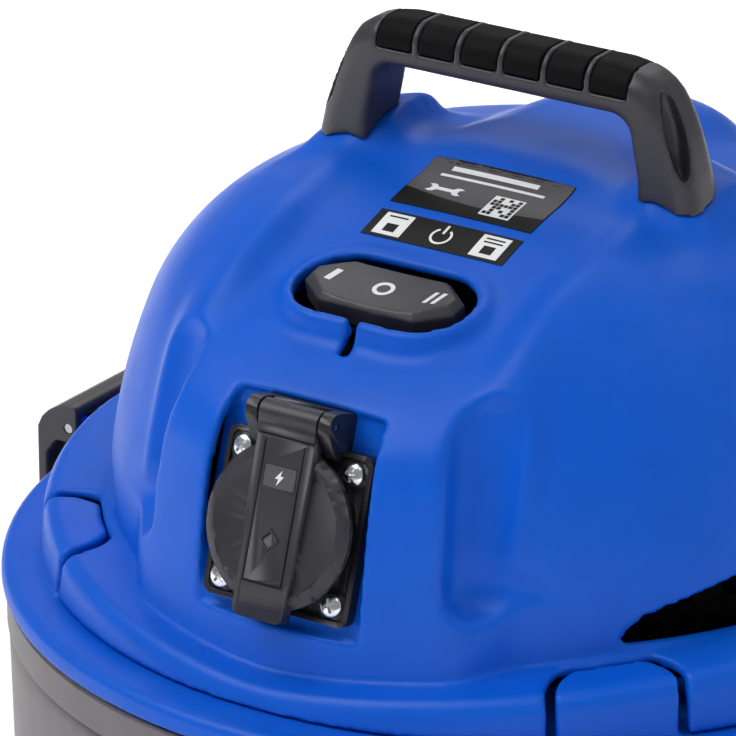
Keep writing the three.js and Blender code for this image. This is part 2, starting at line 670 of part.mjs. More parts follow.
const makeLatchPin = (turn) =>
  alongY(
    LATCH.pinRadius, -LATCH.halfWidth + 0.4, LATCH.halfWidth - 0.4, LATCH.pivotX, LATCH.pivotZ,
  ).rotate([0, 0, turn]);

// ---------------------------------------------------------------- head: motor
function makeFanHousing() {
  const { canRadius: r, canLow, canTop, canWall: w, eye } = MOTOR;
  return turned(
    [
      [eye, canLow], [r, canLow], [r, canTop], [9, canTop], [9, canTop - w], [r - w, canTop - w],
      [r - w, canLow + w], [eye, canLow + w],
    ],
    28,
  );
}

function makeImpeller() {
  const { impellerRadius: r, shaft } = MOTOR;
  const [low, high] = [8, 27];
  const back = turned([[shaft + GAP, high - 1.4], [r, high - 1.4], [r, high], [shaft + GAP, high]], 24);
  const front = turned([[24, low], [r, low + 6], [r, low + 7.2], [24, low + 1.4]], 24);
  const hub = turned([[shaft + GAP, 13], [9, 13], [9, high], [shaft + GAP, high]], 16);
  const blades = Array.from({ length: 7 }, (_, i) => {
    const blade = [...arc(0, 30, 26, -68, 10, 3), ...arc(0, 30, 24.8, 10, -68, 3)];
    return prism(blade.map(([x, y]) => [x + 10, y - 6]), low, high - 0.6).rotate([0, 0, (360 / 7) * i]);
  });
  const within = turned([[0, low - 1], [r, low + 6.4], [r, high], [0, high]], 24);
  return addAll(
    back,
    front,
    hub,
    ...blades.map((b) => b.intersect(within)),
  ).subtract(cylinder(shaft + GAP, 0, 60, 16));
}

function makeShaft() {
  const { shaft, shaftLow, shaftTop } = MOTOR;
  return cylinder(shaft, shaftLow, shaftTop, 20);
}

const collar = (outer, low, high, segments = 32) =>
  turned([[MOTOR.shaft + GAP, low], [outer, low], [outer, high], [MOTOR.shaft + GAP, high]], segments);

function makeArmature() {
  const { coreRadius, coreLow, coreTop } = MOTOR;
  const slots = Array.from(
    { length: 12 },
    (_, i) => box([coreRadius - 3, -0.9, 0], [coreRadius + 2, 0.9, 200]).rotate([0, 0, 30 * i]),
  );
  return cutAll(collar(coreRadius, coreLow, coreTop, 36), ...slots);
}

function makeStator() {
  const { coreRadius, airGap, statorRadius, statorLow, statorTop } = MOTOR;
  const stack = prism(roundedRectangle(statorRadius, statorRadius - 6, 8), statorLow, statorTop);
  return stack.subtract(cylinder(coreRadius + airGap, statorLow - 1, statorTop + 1, 36));
}

// The lower bracket carries the lower bearing and two posts up to the stator.
function makeLowerBracket() {
  const { canTop, bearing, statorLow } = MOTOR;
  const low = canTop + GAP;
  const plate = turned(
    [
      [bearing + GAP, low], [44, low], [44, low + 3], [bearing + 3, low + 3], [bearing + 3, low + 10],
      [bearing + GAP, low + 10],
    ],
    20,
  );
  const posts = [-1, 1].map((side) => cylinder(3.2, low + 2, statorLow - GAP, 12, side * 30, 0));
  return addAll(plate, ...posts);
}

// The upper bracket bridges the stator, and holds the upper bearing and the brush guides.
function makeUpperBracket() {
  const { statorTop, bearing } = MOTOR;
  const low = statorTop + GAP;
  const bridge = box([-33, -9, 104.5], [33, 9, 107.5]);
  const posts = [-1, 1].map((side) => box([side > 0 ? 28 : -33, -6, low], [side > 0 ? 33 : -28, 6, 106]));
  const seat = cylinder(bearing + 3, 106, 115.4, 20);
  const guides = [-1, 1].map((side) => box([side > 0 ? 13 : -31, -5, 92], [side > 0 ? 31 : -13, 5, 101.5]));
  const hollow = cylinder(bearing + GAP, 107.2, 120, 20);
  const shaftHole = cylinder(6, 100, 120, 12);
  const brushBores = box([-31.4, -3.2, 93.6], [31.4, 3.2, 100]);
  return cutAll(addAll(bridge, ...posts, seat, ...guides), hollow, shaftHole, brushBores);
}

const makeBearing = (low) => collar(MOTOR.bearing, low, low + MOTOR.bearingWidth, 20);
const makeBrush = (side) => {
  const [low, high] = [MOTOR.commutator + 0.4, 26].map((v) => v * side).sort((a, b) => a - b);
  return box([low, -2.8, 94], [high, 2.8, 99.6]);
};

// ---------------------------------------------------------------- head: filter and float
function makeFilterCage() {
  const { radius: r, bar, bars, flange, flangeTop, bottom, shelf } = CAGE;
  const top = turned(
    [
      [HEAD_BASE.hole + 4, flangeTop - 3], [flange, flangeTop - 3], [flange, flangeTop],
      [HEAD_BASE.hole + 4, flangeTop],
    ],
    24,
  );
  const floor = turned([[0, bottom], [r, bottom], [r, bottom + 3], [0, bottom + 3]], 24);
  const hoop = (z) => turned([[r - bar, z], [r, z], [r, z + 3], [r - bar, z + 3]], 24);
  const ribs = Array.from(
    { length: bars },
    (_, i) => box([r - bar, -1.8, bottom + 1], [r, 1.8, flangeTop - 1]).rotate([0, 0, (360 / bars) * i]),
  );
  const cross = [0, 90].map((a) => box([-r + 1, -2, shelf - 4], [r - 1, 2, shelf]).rotate([0, 0, a]));
  return addAll(top, floor, hoop(-40), hoop(-92), ...ribs, ...cross);
}

const makeFloat = () =>
  solid(new THREE.SphereGeometry(FLOAT_RADIUS, 18, 12).translate(0, 0, CAGE.shelf + FLOAT_RADIUS + 0.4));

function makeCartridge() {
  const { inner, outer, pleats, pleatDepth, top, bottom } = FILTER;
  const star = Array.from({ length: pleats * 2 }, (_, i) => {
    const a = (Math.PI * i) / pleats;
    const r = i % 2 ? outer - pleatDepth : outer;
    return [r * Math.cos(a), r * Math.sin(a)];
  });
  return prism(star, bottom, top).subtract(cylinder(inner, bottom - 1, top + 1, 48));
}

function makeFilterCap() {
  const { capRadius, bottom } = FILTER;
  const high = bottom - GAP;
  return turned(
    [[0, high - 5], [capRadius - 3, high - 5], [capRadius, high - 3], [capRadius, high], [0, high]],
    36,
  );
}

function makeFilterKnob() {
  const high = FILTER.bottom - 5 - 2 * GAP;
  const grips = Array.from(
    { length: 6 },
    (_, i) => cylinder(4, high - 20, high - 3, 10, 18, 0).rotate([0, 0, 60 * i]),
  );
  return cutAll(
    turned([[0, high - 12], [14, high - 12], [16, high - 10], [16, high], [0, high]], 30),
    ...grips,
  );
}

function makeGland() {
  const { z, radius, bore, out, flange } = GLAND;
  const start = 126.2;
  const outline = [
    [bore, -9], [radius - 2.6, -9], [radius - 2.6, 0], [flange - 3, 0], [flange - 3, 3], [radius, 4],
    [radius - 2.8, out], [bore, out],
  ];
  return turned(outline, 16).rotate([-90, 0, 0]).translate([0, start, z]);
}

// ---------------------------------------------------------------- tank
const tankRadiusAt = (z) => TANK.topRadius + (
  (TANK.topRadius - TANK.bottomRadius) * (z + TANK.rimDrop)
) / TANK.height;

function makeTank() {
  const {
    topRadius, bottomRadius, wall, rimWidth, rimDepth, rimDrop, height, floorRound, floorWall,
  } = TANK;
  const [top, bottom] = [-rimDrop, -height];
  const outerFoot = arc(bottomRadius - floorRound, bottom + floorRound, floorRound, -90, 0, 3);
  const innerRound = floorRound - wall;
  const innerFoot = arc(bottomRadius - floorRound, bottom + floorRound, innerRound, 0, -90, 2);
  const body = turned([
    [0, bottom], ...outerFoot, [topRadius, top], [topRadius - rimWidth, top], [
      topRadius - rimWidth,
      top - rimDepth,
    ],
    [topRadius - wall - 0.2, top - rimDepth - 2.5], ...innerFoot, [0, bottom + floorWall],
  ], 48);
  const lugs = [0, 180].map((turn) =>
    box(
      [topRadius - 1.6, -LUG.halfWidth, LUG.bottom],
      [topRadius + LUG.reach, LUG.halfWidth, LUG.top],
    ).rotate([0, 0, turn]),
  );
  const inletHole = cylinder(INLET.tubeRadius + GAP, 120, 180, 32).rotate([90, 0, 0]).translate([0, 0, INLET.height]);
  return addAll(body, ...lugs).subtract(inletHole);
}

const towardsFront = (part) => part.rotate([90, 0, 0]).translate([0, 0, INLET.height]);

function makeInletPort() {
  const { tubeRadius, boreRadius, reach, flangeRadius, flangeFace, height } = INLET;
  const tube = turned(
    [
      [boreRadius, 144], [tubeRadius, 144], [tubeRadius, reach - 4], [tubeRadius + 2, reach - 3],
      [tubeRadius + 2, reach], [boreRadius, reach],
    ],
    24,
  );
  const flange = turned(
    [
      [boreRadius, 140], [flangeRadius, 140], [flangeRadius, flangeFace - 1.5],
      [flangeRadius - 1.5, flangeFace], [boreRadius, flangeFace],
    ],
    24,
  );
  const tankBody = cylinder(
    tankRadiusAt(height + flangeRadius) + 0.8, -200, 200, 72,
  ).rotate([90, 0, 0]).translate([0, -height, 0]);
  const hugging = flange.subtract(tankBody.translate([0, height, 0]));
  const lugSlots = [0, 180].map(
    (a) => box([boreRadius - 1, -3, reach - 9], [boreRadius + 2.4, 3, reach + 1]).rotate([0, 0, a]),
  );
  return towardsFront(cutAll(addAll(tube, hugging), ...lugSlots));
}

// A hood inside the tank that turns the incoming air down.
function makeInletBaffle() {
  const { tubeRadius, height } = INLET;
  const [w, top, low] = [tubeRadius + 8, height + tubeRadius + 7, height - tubeRadius - 4];
  const outer = box([-w, -148, low], [w, -112, top]);
  const inner = box([-w + 2.4, -149, low - 1], [w - 2.4, -114.4, top - 2.4]);
  const wallRadius = tankRadiusAt(low) - TANK.wall - 0.8;
  const innerWall = cylinder(wallRadius, -200, 10, 48);
  const tubeRoom = towardsFront(cylinder(tubeRadius + GAP, 130, 180, 32));
  return outer.subtract(inner).intersect(innerWall).subtract(tubeRoom);
}

// ---------------------------------------------------------------- base and castors, in the floor frame
const CASTOR_ANGLES = [45, 135, 225, 315];

function makeCastorBase() {
  const {
    bottom, plate, rimRadius, rimWall, rimTop, stemRadius, armHalfWidth, armTop, skin, bossRadius,
  } = BASE;
  const tankFloor = RIM_Z - TANK.height;
  const tray = turned([
    [0, bottom], [rimRadius - 4, bottom], [rimRadius, bottom + 4], [rimRadius, rimTop], [rimRadius - rimWall, rimTop],
    [rimRadius - rimWall, tankFloor - GAP], [0, tankFloor - GAP],
  ], 48);
  const arm = (grow, low, high) =>
    prism(
      [
        [140, -armHalfWidth + grow],
        ...arc(stemRadius, 0, armHalfWidth - grow, -90, 90, 6),
        [140, armHalfWidth - grow],
      ],
      low,
      high,
    );
  const trayInside = cylinder(rimRadius - rimWall, bottom + 1, 100, 48);
  const outside = cylinder(rimRadius + 0.5, 0, 100, 48);
  const arms = CASTOR_ANGLES.map((angle) => {
    const pocket = arm(skin, bottom - 1, armTop - skin).subtract(outside);
    const boss = cylinder(bossRadius, bottom, armTop - skin + 0.5, 16, stemRadius, 0);
    const bore = cylinder(
      CASTOR.stem + BASE.stemClearance, bottom - 1, CASTOR.stemTop + 0.5, 12, stemRadius, 0,
    );
    return addAll(arm(0, bottom, armTop).subtract(pocket), boss).subtract(bore).rotate([0, 0, angle]);
  });
  const hollows = arms.map((a) => a.subtract(trayInside));
  return addAll(tray, ...hollows);
}

function makeCastorFork() {
  const { wheelRadius, wheelWidth, trail, stem, stemTop, cheek, axle } = CASTOR;
  const [low, high] = [wheelRadius * 2 + 1.2, BASE.bottom - GAP];
  const inside = wheelWidth / 2 + 0.8;
  const cap = prism(roundedRectangle(14, inside + cheek, 4, 2), low, high).translate([3, 0, 0]);
  const cheeks = [-1, 1].map((side) => {
    const [a, b] = [inside * side, (inside + cheek) * side].sort((p, q) => p - q);
    return slab([[-8, high - 1], [16, high - 1], ...arc(trail, wheelRadius, 5.5, 0, -180, 5)], a, b);
  });
  const stemPin = cylinder(stem, high - 1, stemTop, 12);
  const bore = alongY(axle + 0.2, -30, 30, trail, wheelRadius);
  return addAll(cap, ...cheeks, stemPin).subtract(bore);
}

function makeCastorWheel() {
  const { wheelRadius: r, wheelWidth: w, axle } = CASTOR;
  const half = w / 2;
  return turned([
    [axle + GAP, -half], [7, -half], [r - 5, -half + 1.6], [r - 2, -half], [r, -half + 2],
    [r, half - 2], [r - 2, half], [r - 5, half - 1.6], [7, half], [axle + GAP, half],
  ], 16).rotate([90, 0, 0]).translate([CASTOR.trail, 0, r]);
}

function makeCastorAxle() {
  const end = CASTOR.wheelWidth / 2 + 0.8 + CASTOR.cheek + 0.5;
  return alongY(CASTOR.axle, -end, end, CASTOR.trail, CASTOR.wheelRadius, 14);
}

// ---------------------------------------------------------------- assembly
const vacuum = new THREE.Group();
const head = new THREE.Group();
head.position.z = RIM_Z;
vacuum.add(head);
const drum = new THREE.Group();
drum.position.z = RIM_Z;
vacuum.add(drum);

function place(group, name, made, material) {
  const mesh = new THREE.Mesh(geometryOf(made), material);
  mesh.name = name;
  group.add(mesh);
}

place(drum, "tank", makeTank(), TANK_GREY);
place(drum, "inlet_port", makeInletPort(), DARK);
place(drum, "inlet_baffle", makeInletBaffle(), DARK);
place(vacuum, "castor_base", makeCastorBase(), DARK);

CASTOR_ANGLES.forEach((angle, i) => {
  const castor = new THREE.Group();
  castor.position.set(BASE.stemRadius * Math.cos(rad(angle)), BASE.stemRadius * Math.sin(rad(angle)), 0);
  castor.rotation.z = rad(angle);
  vacuum.add(castor);
  place(castor, `castor_fork_${i + 1}`, makeCastorFork(), DARK);
  place(castor, `castor_wheel_${i + 1}`, makeCastorWheel(), BLACK);
  place(castor, `castor_axle_${i + 1}`, makeCastorAxle(), STEEL);
});

place(head, "motor_cover", makeMotorCover(), BLUE);
place(head, "lid_ring", makeLidRing(), BLUE);
place(head, "lid_seal", makeLidSeal(), RUBBER);
place(head, "head_base", makeHeadBase(), DARK);
place(head, "exhaust_grille_right", makeVentGrille(0), BLACK);
place(head, "exhaust_grille_left", makeVentGrille(180), BLACK);
place(head, "cable_gland", makeGland(), RUBBER);

place(head, "handle", makeHandle(), DARK);
place(head, "handle_grip", makeGripPad(), BLACK);
place(head, "label_service", makeLabel(LABEL.upper), LABEL_FACE);
place(head, "label_switch", makeLabel(LABEL.lower), LABEL_FACE);

place(head, "rocker_cap", makeRockerCap(), DARK);
place(head, "rocker_pin", makeRockerPin(), STEEL);
place(head, "switch_body", makeSwitchBody(), BLACK);

place(head, "socket_flange", makeSocketFlange(), BLACK);
place(head, "socket_lid", makeSocketLid(), DARK);
place(head, "socket_hinge_pin", makeHingePin(), STEEL);
place(head, "socket_lid_spring", makeLidSpring(), STEEL);
corners.forEach(([i, j], n) => place(head, `socket_screw_${n + 1}`, makeScrew(i, j), STEEL));

place(head, "latch_right", makeLatch(0), BLACK);
place(head, "latch_left", makeLatch(180), BLACK);
place(head, "latch_pin_right", makeLatchPin(0), STEEL);
place(head, "latch_pin_left", makeLatchPin(180), STEEL);

place(
  head, "motor_gasket",
  turned(
    [
      [48, HEAD_BASE.top + GAP], [59, HEAD_BASE.top + GAP], [59, MOTOR.canLow - GAP],
      [48, MOTOR.canLow - GAP],
    ],
    24,
  ),
  RUBBER,
);
place(head, "fan_housing", makeFanHousing(), STEEL);
place(head, "fan_impeller", makeImpeller(), STEEL);
place(head, "motor_shaft", makeShaft(), STEEL);
place(head, "armature_core", makeArmature(), COPPER);
place(head, "commutator", collar(MOTOR.commutator, MOTOR.commLow, MOTOR.commTop, 24), COPPER);
place(head, "stator", makeStator(), STEEL);
place(head, "motor_bracket_lower", makeLowerBracket(), STEEL);
place(head, "motor_bracket_upper", makeUpperBracket(), BLACK);
place(head, "bearing_lower", makeBearing(MOTOR.canTop + 2), STEEL);
place(head, "bearing_upper", makeBearing(107.6), STEEL);
place(head, "carbon_brush_right", makeBrush(1), BLACK);
place(head, "carbon_brush_left", makeBrush(-1), BLACK);

place(head, "filter_cage", makeFilterCage(), BLACK);
place(head, "float_ball", makeFloat(), FLOAT_WHITE);
place(head, "cartridge_filter", makeCartridge(), PAPER);
place(head, "filter_cap", makeFilterCap(), DARK);
place(head, "filter_knob", makeFilterKnob(), DARK);

export default vacuum;
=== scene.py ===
"""Looks of a wet and dry shop vacuum.

A blue domed motor head with a carry handle, a three-way rocker switch and a lidded tool socket sits on a
round grey tank, which stands on four castors. Each sub-assembly is a class. Its sizes are in millimetres in
the head's or the floor's frame, and its finished pieces are put into metres in the row frame.
"""

import logging
import math
from dataclasses import dataclass, field
from enum import Enum
from typing import Iterable, Sequence

import bpy
import numpy as np
from mathutils import Matrix, Vector
from mathutils.bvhtree import BVHTree


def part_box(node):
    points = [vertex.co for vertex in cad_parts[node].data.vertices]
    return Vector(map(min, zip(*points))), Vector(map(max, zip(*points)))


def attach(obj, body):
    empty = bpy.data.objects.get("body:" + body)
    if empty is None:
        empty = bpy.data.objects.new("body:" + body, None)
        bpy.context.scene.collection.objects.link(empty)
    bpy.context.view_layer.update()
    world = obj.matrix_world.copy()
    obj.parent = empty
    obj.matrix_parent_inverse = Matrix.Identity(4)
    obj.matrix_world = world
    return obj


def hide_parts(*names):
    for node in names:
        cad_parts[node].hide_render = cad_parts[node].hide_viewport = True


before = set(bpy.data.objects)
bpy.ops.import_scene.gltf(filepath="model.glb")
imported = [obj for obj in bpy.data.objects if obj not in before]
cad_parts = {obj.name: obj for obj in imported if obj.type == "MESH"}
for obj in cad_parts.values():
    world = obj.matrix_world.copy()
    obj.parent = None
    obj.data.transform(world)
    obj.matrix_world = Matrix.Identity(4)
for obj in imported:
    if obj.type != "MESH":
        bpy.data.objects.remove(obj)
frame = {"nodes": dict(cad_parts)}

log = logging.getLogger("shop_vacuum")

Point = tuple[float, float]
MILLIMETRE = 0.001
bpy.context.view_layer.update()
RING_HEIGHT = float(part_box("lid_ring")[0][2])
TO_FLOOR = Matrix.Scale(MILLIMETRE, 4)
TO_HEAD = Matrix.Translation((0.0, 0.0, RING_HEIGHT)) @ TO_FLOOR
STANDING = Matrix(((0, 0, 1, 0), (1, 0, 0, 0), (0, 1, 0, 0), (0, 0, 0, 1)))  # X and Y become Y and Z
CORNERS = (45, 135, 225, 315)  # where the castors and the inlet's screws stand, in degrees
LATCH_PIVOT = (153.5, 16.5)  # the right latch's hinge line in X and Z, in the head's frame


# ------------------------------------------------------------------ modelling by hand


def clear_selection() -> None:
    """Leaves edit mode and deselects every object."""
    if bpy.context.object and bpy.context.object.mode != "OBJECT":
        bpy.ops.object.mode_set(mode="OBJECT")
    bpy.ops.object.select_all(action="DESELECT")


def take(piece: bpy.types.Object) -> None:
    """Makes one piece the only selected and the active one."""
    clear_selection()
    piece.select_set(True)
    bpy.context.view_layer.objects.active = piece


def settle(piece: bpy.types.Object, place: Matrix | None = None) -> bpy.types.Object:
    """Moves a piece's place into its mesh.

    Args:
        piece: The piece.
        place: A further transform to apply, or None.

    Returns:
        The same piece, at the origin.
    """
    matrix = piece.matrix_basis.copy()
    piece.data.transform(matrix if place is None else place @ matrix)
    piece.matrix_basis.identity()
    if place is not None and place.determinant() < 0:
        piece.data.flip_normals()
    piece.data.update()
    return piece


def in_edit_mode(piece: bpy.types.Object, kind: str = "FACE") -> None:
    """Opens a piece in edit mode with everything selected.

    Args:
        piece: The piece.
        kind: Which elements can be selected: VERT, EDGE or FACE.
    """
    take(piece)
    bpy.ops.object.mode_set(mode="EDIT")
    bpy.ops.mesh.select_mode(type=kind)
    bpy.ops.mesh.select_all(action="SELECT")


def tidy_mesh(piece: bpy.types.Object, distance: float = 1e-4) -> None:
    """Merges doubled points and turns every face outwards."""
    in_edit_mode(piece)
    bpy.ops.mesh.remove_doubles(threshold=distance)
    bpy.ops.mesh.dissolve_degenerate(threshold=1e-6)
    bpy.ops.mesh.delete_loose()
    bpy.ops.mesh.select_all(action="SELECT")
    bpy.ops.mesh.normals_make_consistent(inside=False)
    clear_selection()


def block(
    low: Sequence[float], high: Sequence[float], bevel: float = 0.0, steps: int = 3,
) -> bpy.types.Object:
    """Makes a box, with rounded edges if bevel is over 0.

    Args:
        low: Its lowest corner.
        high: Its highest corner.
        bevel: The radius of its edges.
        steps: How many faces round each edge has.

    Returns:
        The box.
    """
    clear_selection()
    middle = [(a + b) / 2 for a, b in zip(low, high)]
    bpy.ops.mesh.primitive_cube_add(size=1, location=middle)
    bpy.ops.transform.resize(value=[b - a for a, b in zip(low, high)])
    piece = settle(bpy.context.object)
    if bevel > 0:
        in_edit_mode(piece, "EDGE")
        bpy.ops.mesh.bevel(offset=bevel, segments=steps, affect="EDGES")
        clear_selection()
    return piece


def rod(
    radius: float, low: float, high: float, sides: int = 48, x: float = 0.0, y: float = 0.0,
) -> bpy.types.Object:
    """Makes a round bar along Z.

    Args:
        radius: Its radius.
        low: The height of its lower end.
        high: The height of its upper end.
        sides: How many faces it has round.
        x: Its place along X.
        y: Its place along Y.

    Returns:
        The bar.
    """
    clear_selection()
    bpy.ops.mesh.primitive_cylinder_add(
        vertices=sides, radius=radius, depth=high - low, location=(x, y, (low + high) / 2)
    )
    return settle(bpy.context.object)


def ring_of_points(points: Sequence[Sequence[float]], filled: bool) -> bpy.types.Object:
    """Makes a closed ring of points from a circle whose points are moved.

    Args:
        points: The points, in order.
        filled: Whether the ring has a face.

    Returns:
        The ring.
    """
    clear_selection()
    bpy.ops.mesh.primitive_circle_add(vertices=len(points), fill_type="NGON" if filled else "NOTHING")
    piece = bpy.context.object
    for vertex, point in zip(piece.data.vertices, points):
        vertex.co = point
    return piece


def plate(outline: Sequence[Point], low: float, high: float) -> bpy.types.Object:
    """Makes a plate from an outline in X and Y.

    Args:
        outline: The outline's points, in order.
        low: The height of its lower face.
        high: The height of its upper face.

    Returns:
        The plate.
    """
    piece = ring_of_points([(x, y, low) for x, y in outline], True)
    in_edit_mode(piece)
    bpy.ops.mesh.extrude_region_move(TRANSFORM_OT_translate={"value": (0, 0, high - low)})
    bpy.ops.mesh.select_all(action="SELECT")
    bpy.ops.mesh.normals_make_consistent(inside=False)
    clear_selection()
    return piece


def turned(outline: Sequence[Point], steps: int = 96) -> bpy.types.Object:
    """Spins an outline about Z.

    Args:
        outline: Its (radius, height) points, in order. The last joins the first, unless both are on the axis.
        steps: How many columns of faces the spin has.

    Returns:
        The closed solid of revolution.
    """
    piece = ring_of_points([(r, 0.0, z) for r, z in outline], False)
    in_edit_mode(piece, "EDGE")
    bpy.ops.mesh.select_all(action="DESELECT")
    bpy.ops.object.mode_set(mode="OBJECT")
    points = piece.data.vertices
    for edge in piece.data.edges:
        edge.select = all(abs(points[i].co.x) < 1e-6 for i in edge.vertices)
    on_axis = any(edge.select for edge in piece.data.edges)
    bpy.ops.object.mode_set(mode="EDIT")
    if on_axis:
        bpy.ops.mesh.delete(type="EDGE_FACE")
    bpy.ops.mesh.select_all(action="SELECT")
    bpy.ops.mesh.spin(steps=steps, angle=2 * math.pi, center=(0, 0, 0), axis=(0, 0, 1))
    tidy_mesh(piece, 1e-3)
    return piece


def apply_modifiers(piece: bpy.types.Object) -> None:
    """Applies a piece's modifiers in order."""
    take(piece)
    for modifier in list(piece.modifiers):
        bpy.ops.object.modifier_apply(modifier=modifier.name)


class Cut(Enum):
    """How one solid changes another."""

    AWAY = "DIFFERENCE"
    ON = "UNION"
    COMMON = "INTERSECT"


def shape(piece: bpy.types.Object, how: Cut, *tools: bpy.types.Object) -> bpy.types.Object:
    """Cuts, joins or keeps what is common with other solids, which are used up.

    Args:
        piece: The solid that is shaped.
        how: What the tools do to it.
        tools: The other solids.

    Returns:
        The shaped solid.
    """
    for tool in tools:
        change = piece.modifiers.new("shape", "BOOLEAN")
        change.operation = how.value
        change.solver = "MANIFOLD"
        change.object = tool
        apply_modifiers(piece)
        bpy.data.objects.remove(tool)
    return piece


def join(first: bpy.types.Object, *others: bpy.types.Object) -> bpy.types.Object:
    """Puts several meshes into one object without cutting them."""
    clear_selection()
    for piece in (first, *others):
        piece.select_set(True)
    bpy.context.view_layer.objects.active = first
    bpy.ops.object.join()
    return first


def copy_of(piece: bpy.types.Object, place: Matrix | None = None) -> bpy.types.Object:
    """Copies a piece with its own mesh.

    Args:
        piece: The piece.
        place: A transform of the copy's mesh, or None.

    Returns:
        The copy.
    """
    other = piece.copy()
    other.data = piece.data.copy()
    bpy.context.scene.collection.objects.link(other)
    return settle(other, place)


def round_edges(
    piece: bpy.types.Object, width: float, steps: int = 2, over: float = 35.0,
) -> bpy.types.Object:
    """Rounds the edges that are sharper than an angle.

    Args:
        piece: The piece.
        width: The rounding's width.
        steps: How many faces round it has.
        over: The least angle between faces, in degrees.

    Returns:
        The same piece.
    """
    bevel = piece.modifiers.new("edges", "BEVEL")
    bevel.width = width
    bevel.segments = steps
    bevel.limit_method = "ANGLE"
    bevel.angle_limit = math.radians(over)
    bevel.harden_normals = False
    apply_modifiers(piece)
    return shade(piece)


def shade(piece: bpy.types.Object, angle: float = 35.0) -> bpy.types.Object:
    """Shades a piece smooth except across edges sharper than angle, in degrees."""
    take(piece)
    bpy.ops.object.shade_smooth_by_angle(angle=math.radians(angle))
    clear_selection()
    return piece


def mould(piece: bpy.types.Object, voxel: float, passes: int = 6, keep: float = 1.0) -> bpy.types.Object:
    """Joins overlapping solids into one skin with the soft edges of a moulding.

    Args:
        piece: The solids, in one mesh.
        voxel: The size of the skin's faces, which sets how soft the edges are.
        passes: How often the skin is smoothed.
        keep: The share of its faces to keep.

    Returns:
        The same piece.
    """
    skin = piece.modifiers.new("skin", "REMESH")
    skin.mode = "VOXEL"
    skin.voxel_size = voxel
    soften = piece.modifiers.new("soften", "SMOOTH")
    soften.factor = 0.5
    soften.iterations = passes
    if keep < 1:
        thin = piece.modifiers.new("thin", "DECIMATE")
        thin.ratio = keep
    apply_modifiers(piece)
    return shade(piece, 60.0)


def arc(cx: float, cy: float, radius: float, start: float, end: float, steps: int) -> list[Point]:
    """Gives the points of an arc, with its angles in degrees."""
    angles = np.radians(np.linspace(start, end, steps + 1))
    return [(cx + radius * math.cos(a), cy + radius * math.sin(a)) for a in angles]


def rounded_box(half_x: float, half_y: float, corner: float, steps: int = 6) -> list[Point]:
    """Gives the outline of a rectangle with round corners about the origin."""
    x, y = half_x - corner, half_y - corner
    return [
        *arc(x, y, corner, 0, 90, steps),
        *arc(-x, y, corner, 90, 180, steps),
        *arc(-x, -y, corner, 180, 270, steps),
        *arc(x, -y, corner, 270, 360, steps),
    ]


def stadium(half_run: float, radius: float, steps: int = 20) -> list[Point]:
    """Gives the outline of a slot along X about the origin."""
    return [*arc(half_run, 0, radius, -90, 90, steps), *arc(-half_run, 0, radius, 90, 270, steps)]


def about(axis: str, degrees: float) -> Matrix:
    """Gives a turn about one of the main axes."""
    return Matrix.Rotation(math.radians(degrees), 4, axis)


def shift(x: float, y: float, z: float) -> Matrix:
    """Gives a move."""
    return Matrix.Translation((x, y, z))


# ------------------------------------------------------------------ effects and finishes


def linear(code: str) -> tuple[float, float, float, float]:
    """Turns a hex colour such as "#0462D2" into linear red, green, blue and alpha."""
    values = [int(code[i : i + 2], 16) / 255 for i in (1, 3, 5)]
    red, green, blue = (v / 12.92 if v <= 0.04045 else ((v + 0.055) / 1.055) ** 2.4 for v in values)
    return red, green, blue, 1.0


class Graph:
    """Adds and wires nodes in one node tree."""

    def __init__(self, tree: bpy.types.NodeTree) -> None:
        """Starts from an existing node tree."""
        self.tree = tree

    def add(
        self, kind: str, links: dict[str | int, bpy.types.NodeSocket | None] | None = None,
        **values: object,
    ) -> bpy.types.Node:
        """Adds a node.

        Args:
            kind: The node's type name.
            links: The sockets that feed its inputs, by input name or number.
            values: Its own settings, and values of its inputs as in_Name with _ for a space.

        Returns:
            The node.
        """
        node = self.tree.nodes.new(kind)
        for name, value in values.items():
            if name.startswith("in_"):
                node.inputs[name[3:].replace("_", " ")].default_value = value
            else:
                setattr(node, name, value)
        for name, socket in (links or {}).items():
            self.tree.links.new(socket, node.inputs[name])
        return node

    def noise(
        self, where: bpy.types.NodeSocket, scale: float, detail: float = 3.0, rough: float = 0.5,
    ) -> bpy.types.NodeSocket:
        """Adds noise of a scale per metre and gives its value."""
        node = self.add("ShaderNodeTexNoise", {"Vector": where}, in_Detail=detail, in_Roughness=rough)
        node.inputs["Scale"].default_value = scale
        return node.outputs[0]

    def spread(
        self, value: bpy.types.NodeSocket, low: float, high: float, new_low: float = 0.0,
        new_high: float = 1.0,
    ) -> bpy.types.NodeSocket:
        """Maps a value's range onto another, held to its ends."""
        node = self.add("ShaderNodeMapRange", {"Value": value})
        for name, number in (
            ("From Min", low), ("From Max", high), ("To Min", new_low), ("To Max", new_high),
        ):
            node.inputs[name].default_value = number
        return node.outputs[0]

    def maths(
        self, operation: str, a: bpy.types.NodeSocket, b: bpy.types.NodeSocket | float,
    ) -> bpy.types.NodeSocket:
        """Combines two values."""
        node = self.add("ShaderNodeMath", {0: a}, operation=operation)
        if isinstance(b, bpy.types.NodeSocket):
            self.tree.links.new(b, node.inputs[1])
        else:
            node.inputs[1].default_value = b
        return node.outputs[0]

    def mix(
        self, share: bpy.types.NodeSocket, a: Sequence[float] | bpy.types.NodeSocket,
        b: Sequence[float] | bpy.types.NodeSocket,
    ) -> bpy.types.NodeSocket:
        """Mixes two colours."""
        node = self.add("ShaderNodeMix", data_type="RGBA")
        self.tree.links.new(share, node.inputs[0])
        for slot, value in ((6, a), (7, b)):
            if isinstance(value, bpy.types.NodeSocket):
                self.tree.links.new(value, node.inputs[slot])
            else:
                node.inputs[slot].default_value = value
        return node.outputs[2]


class Effect(Enum):
    """The surface effects that several finishes share."""

    SURFACE = "moulded surface"
    WEAR = "edge wear"
    DUST = "dust"


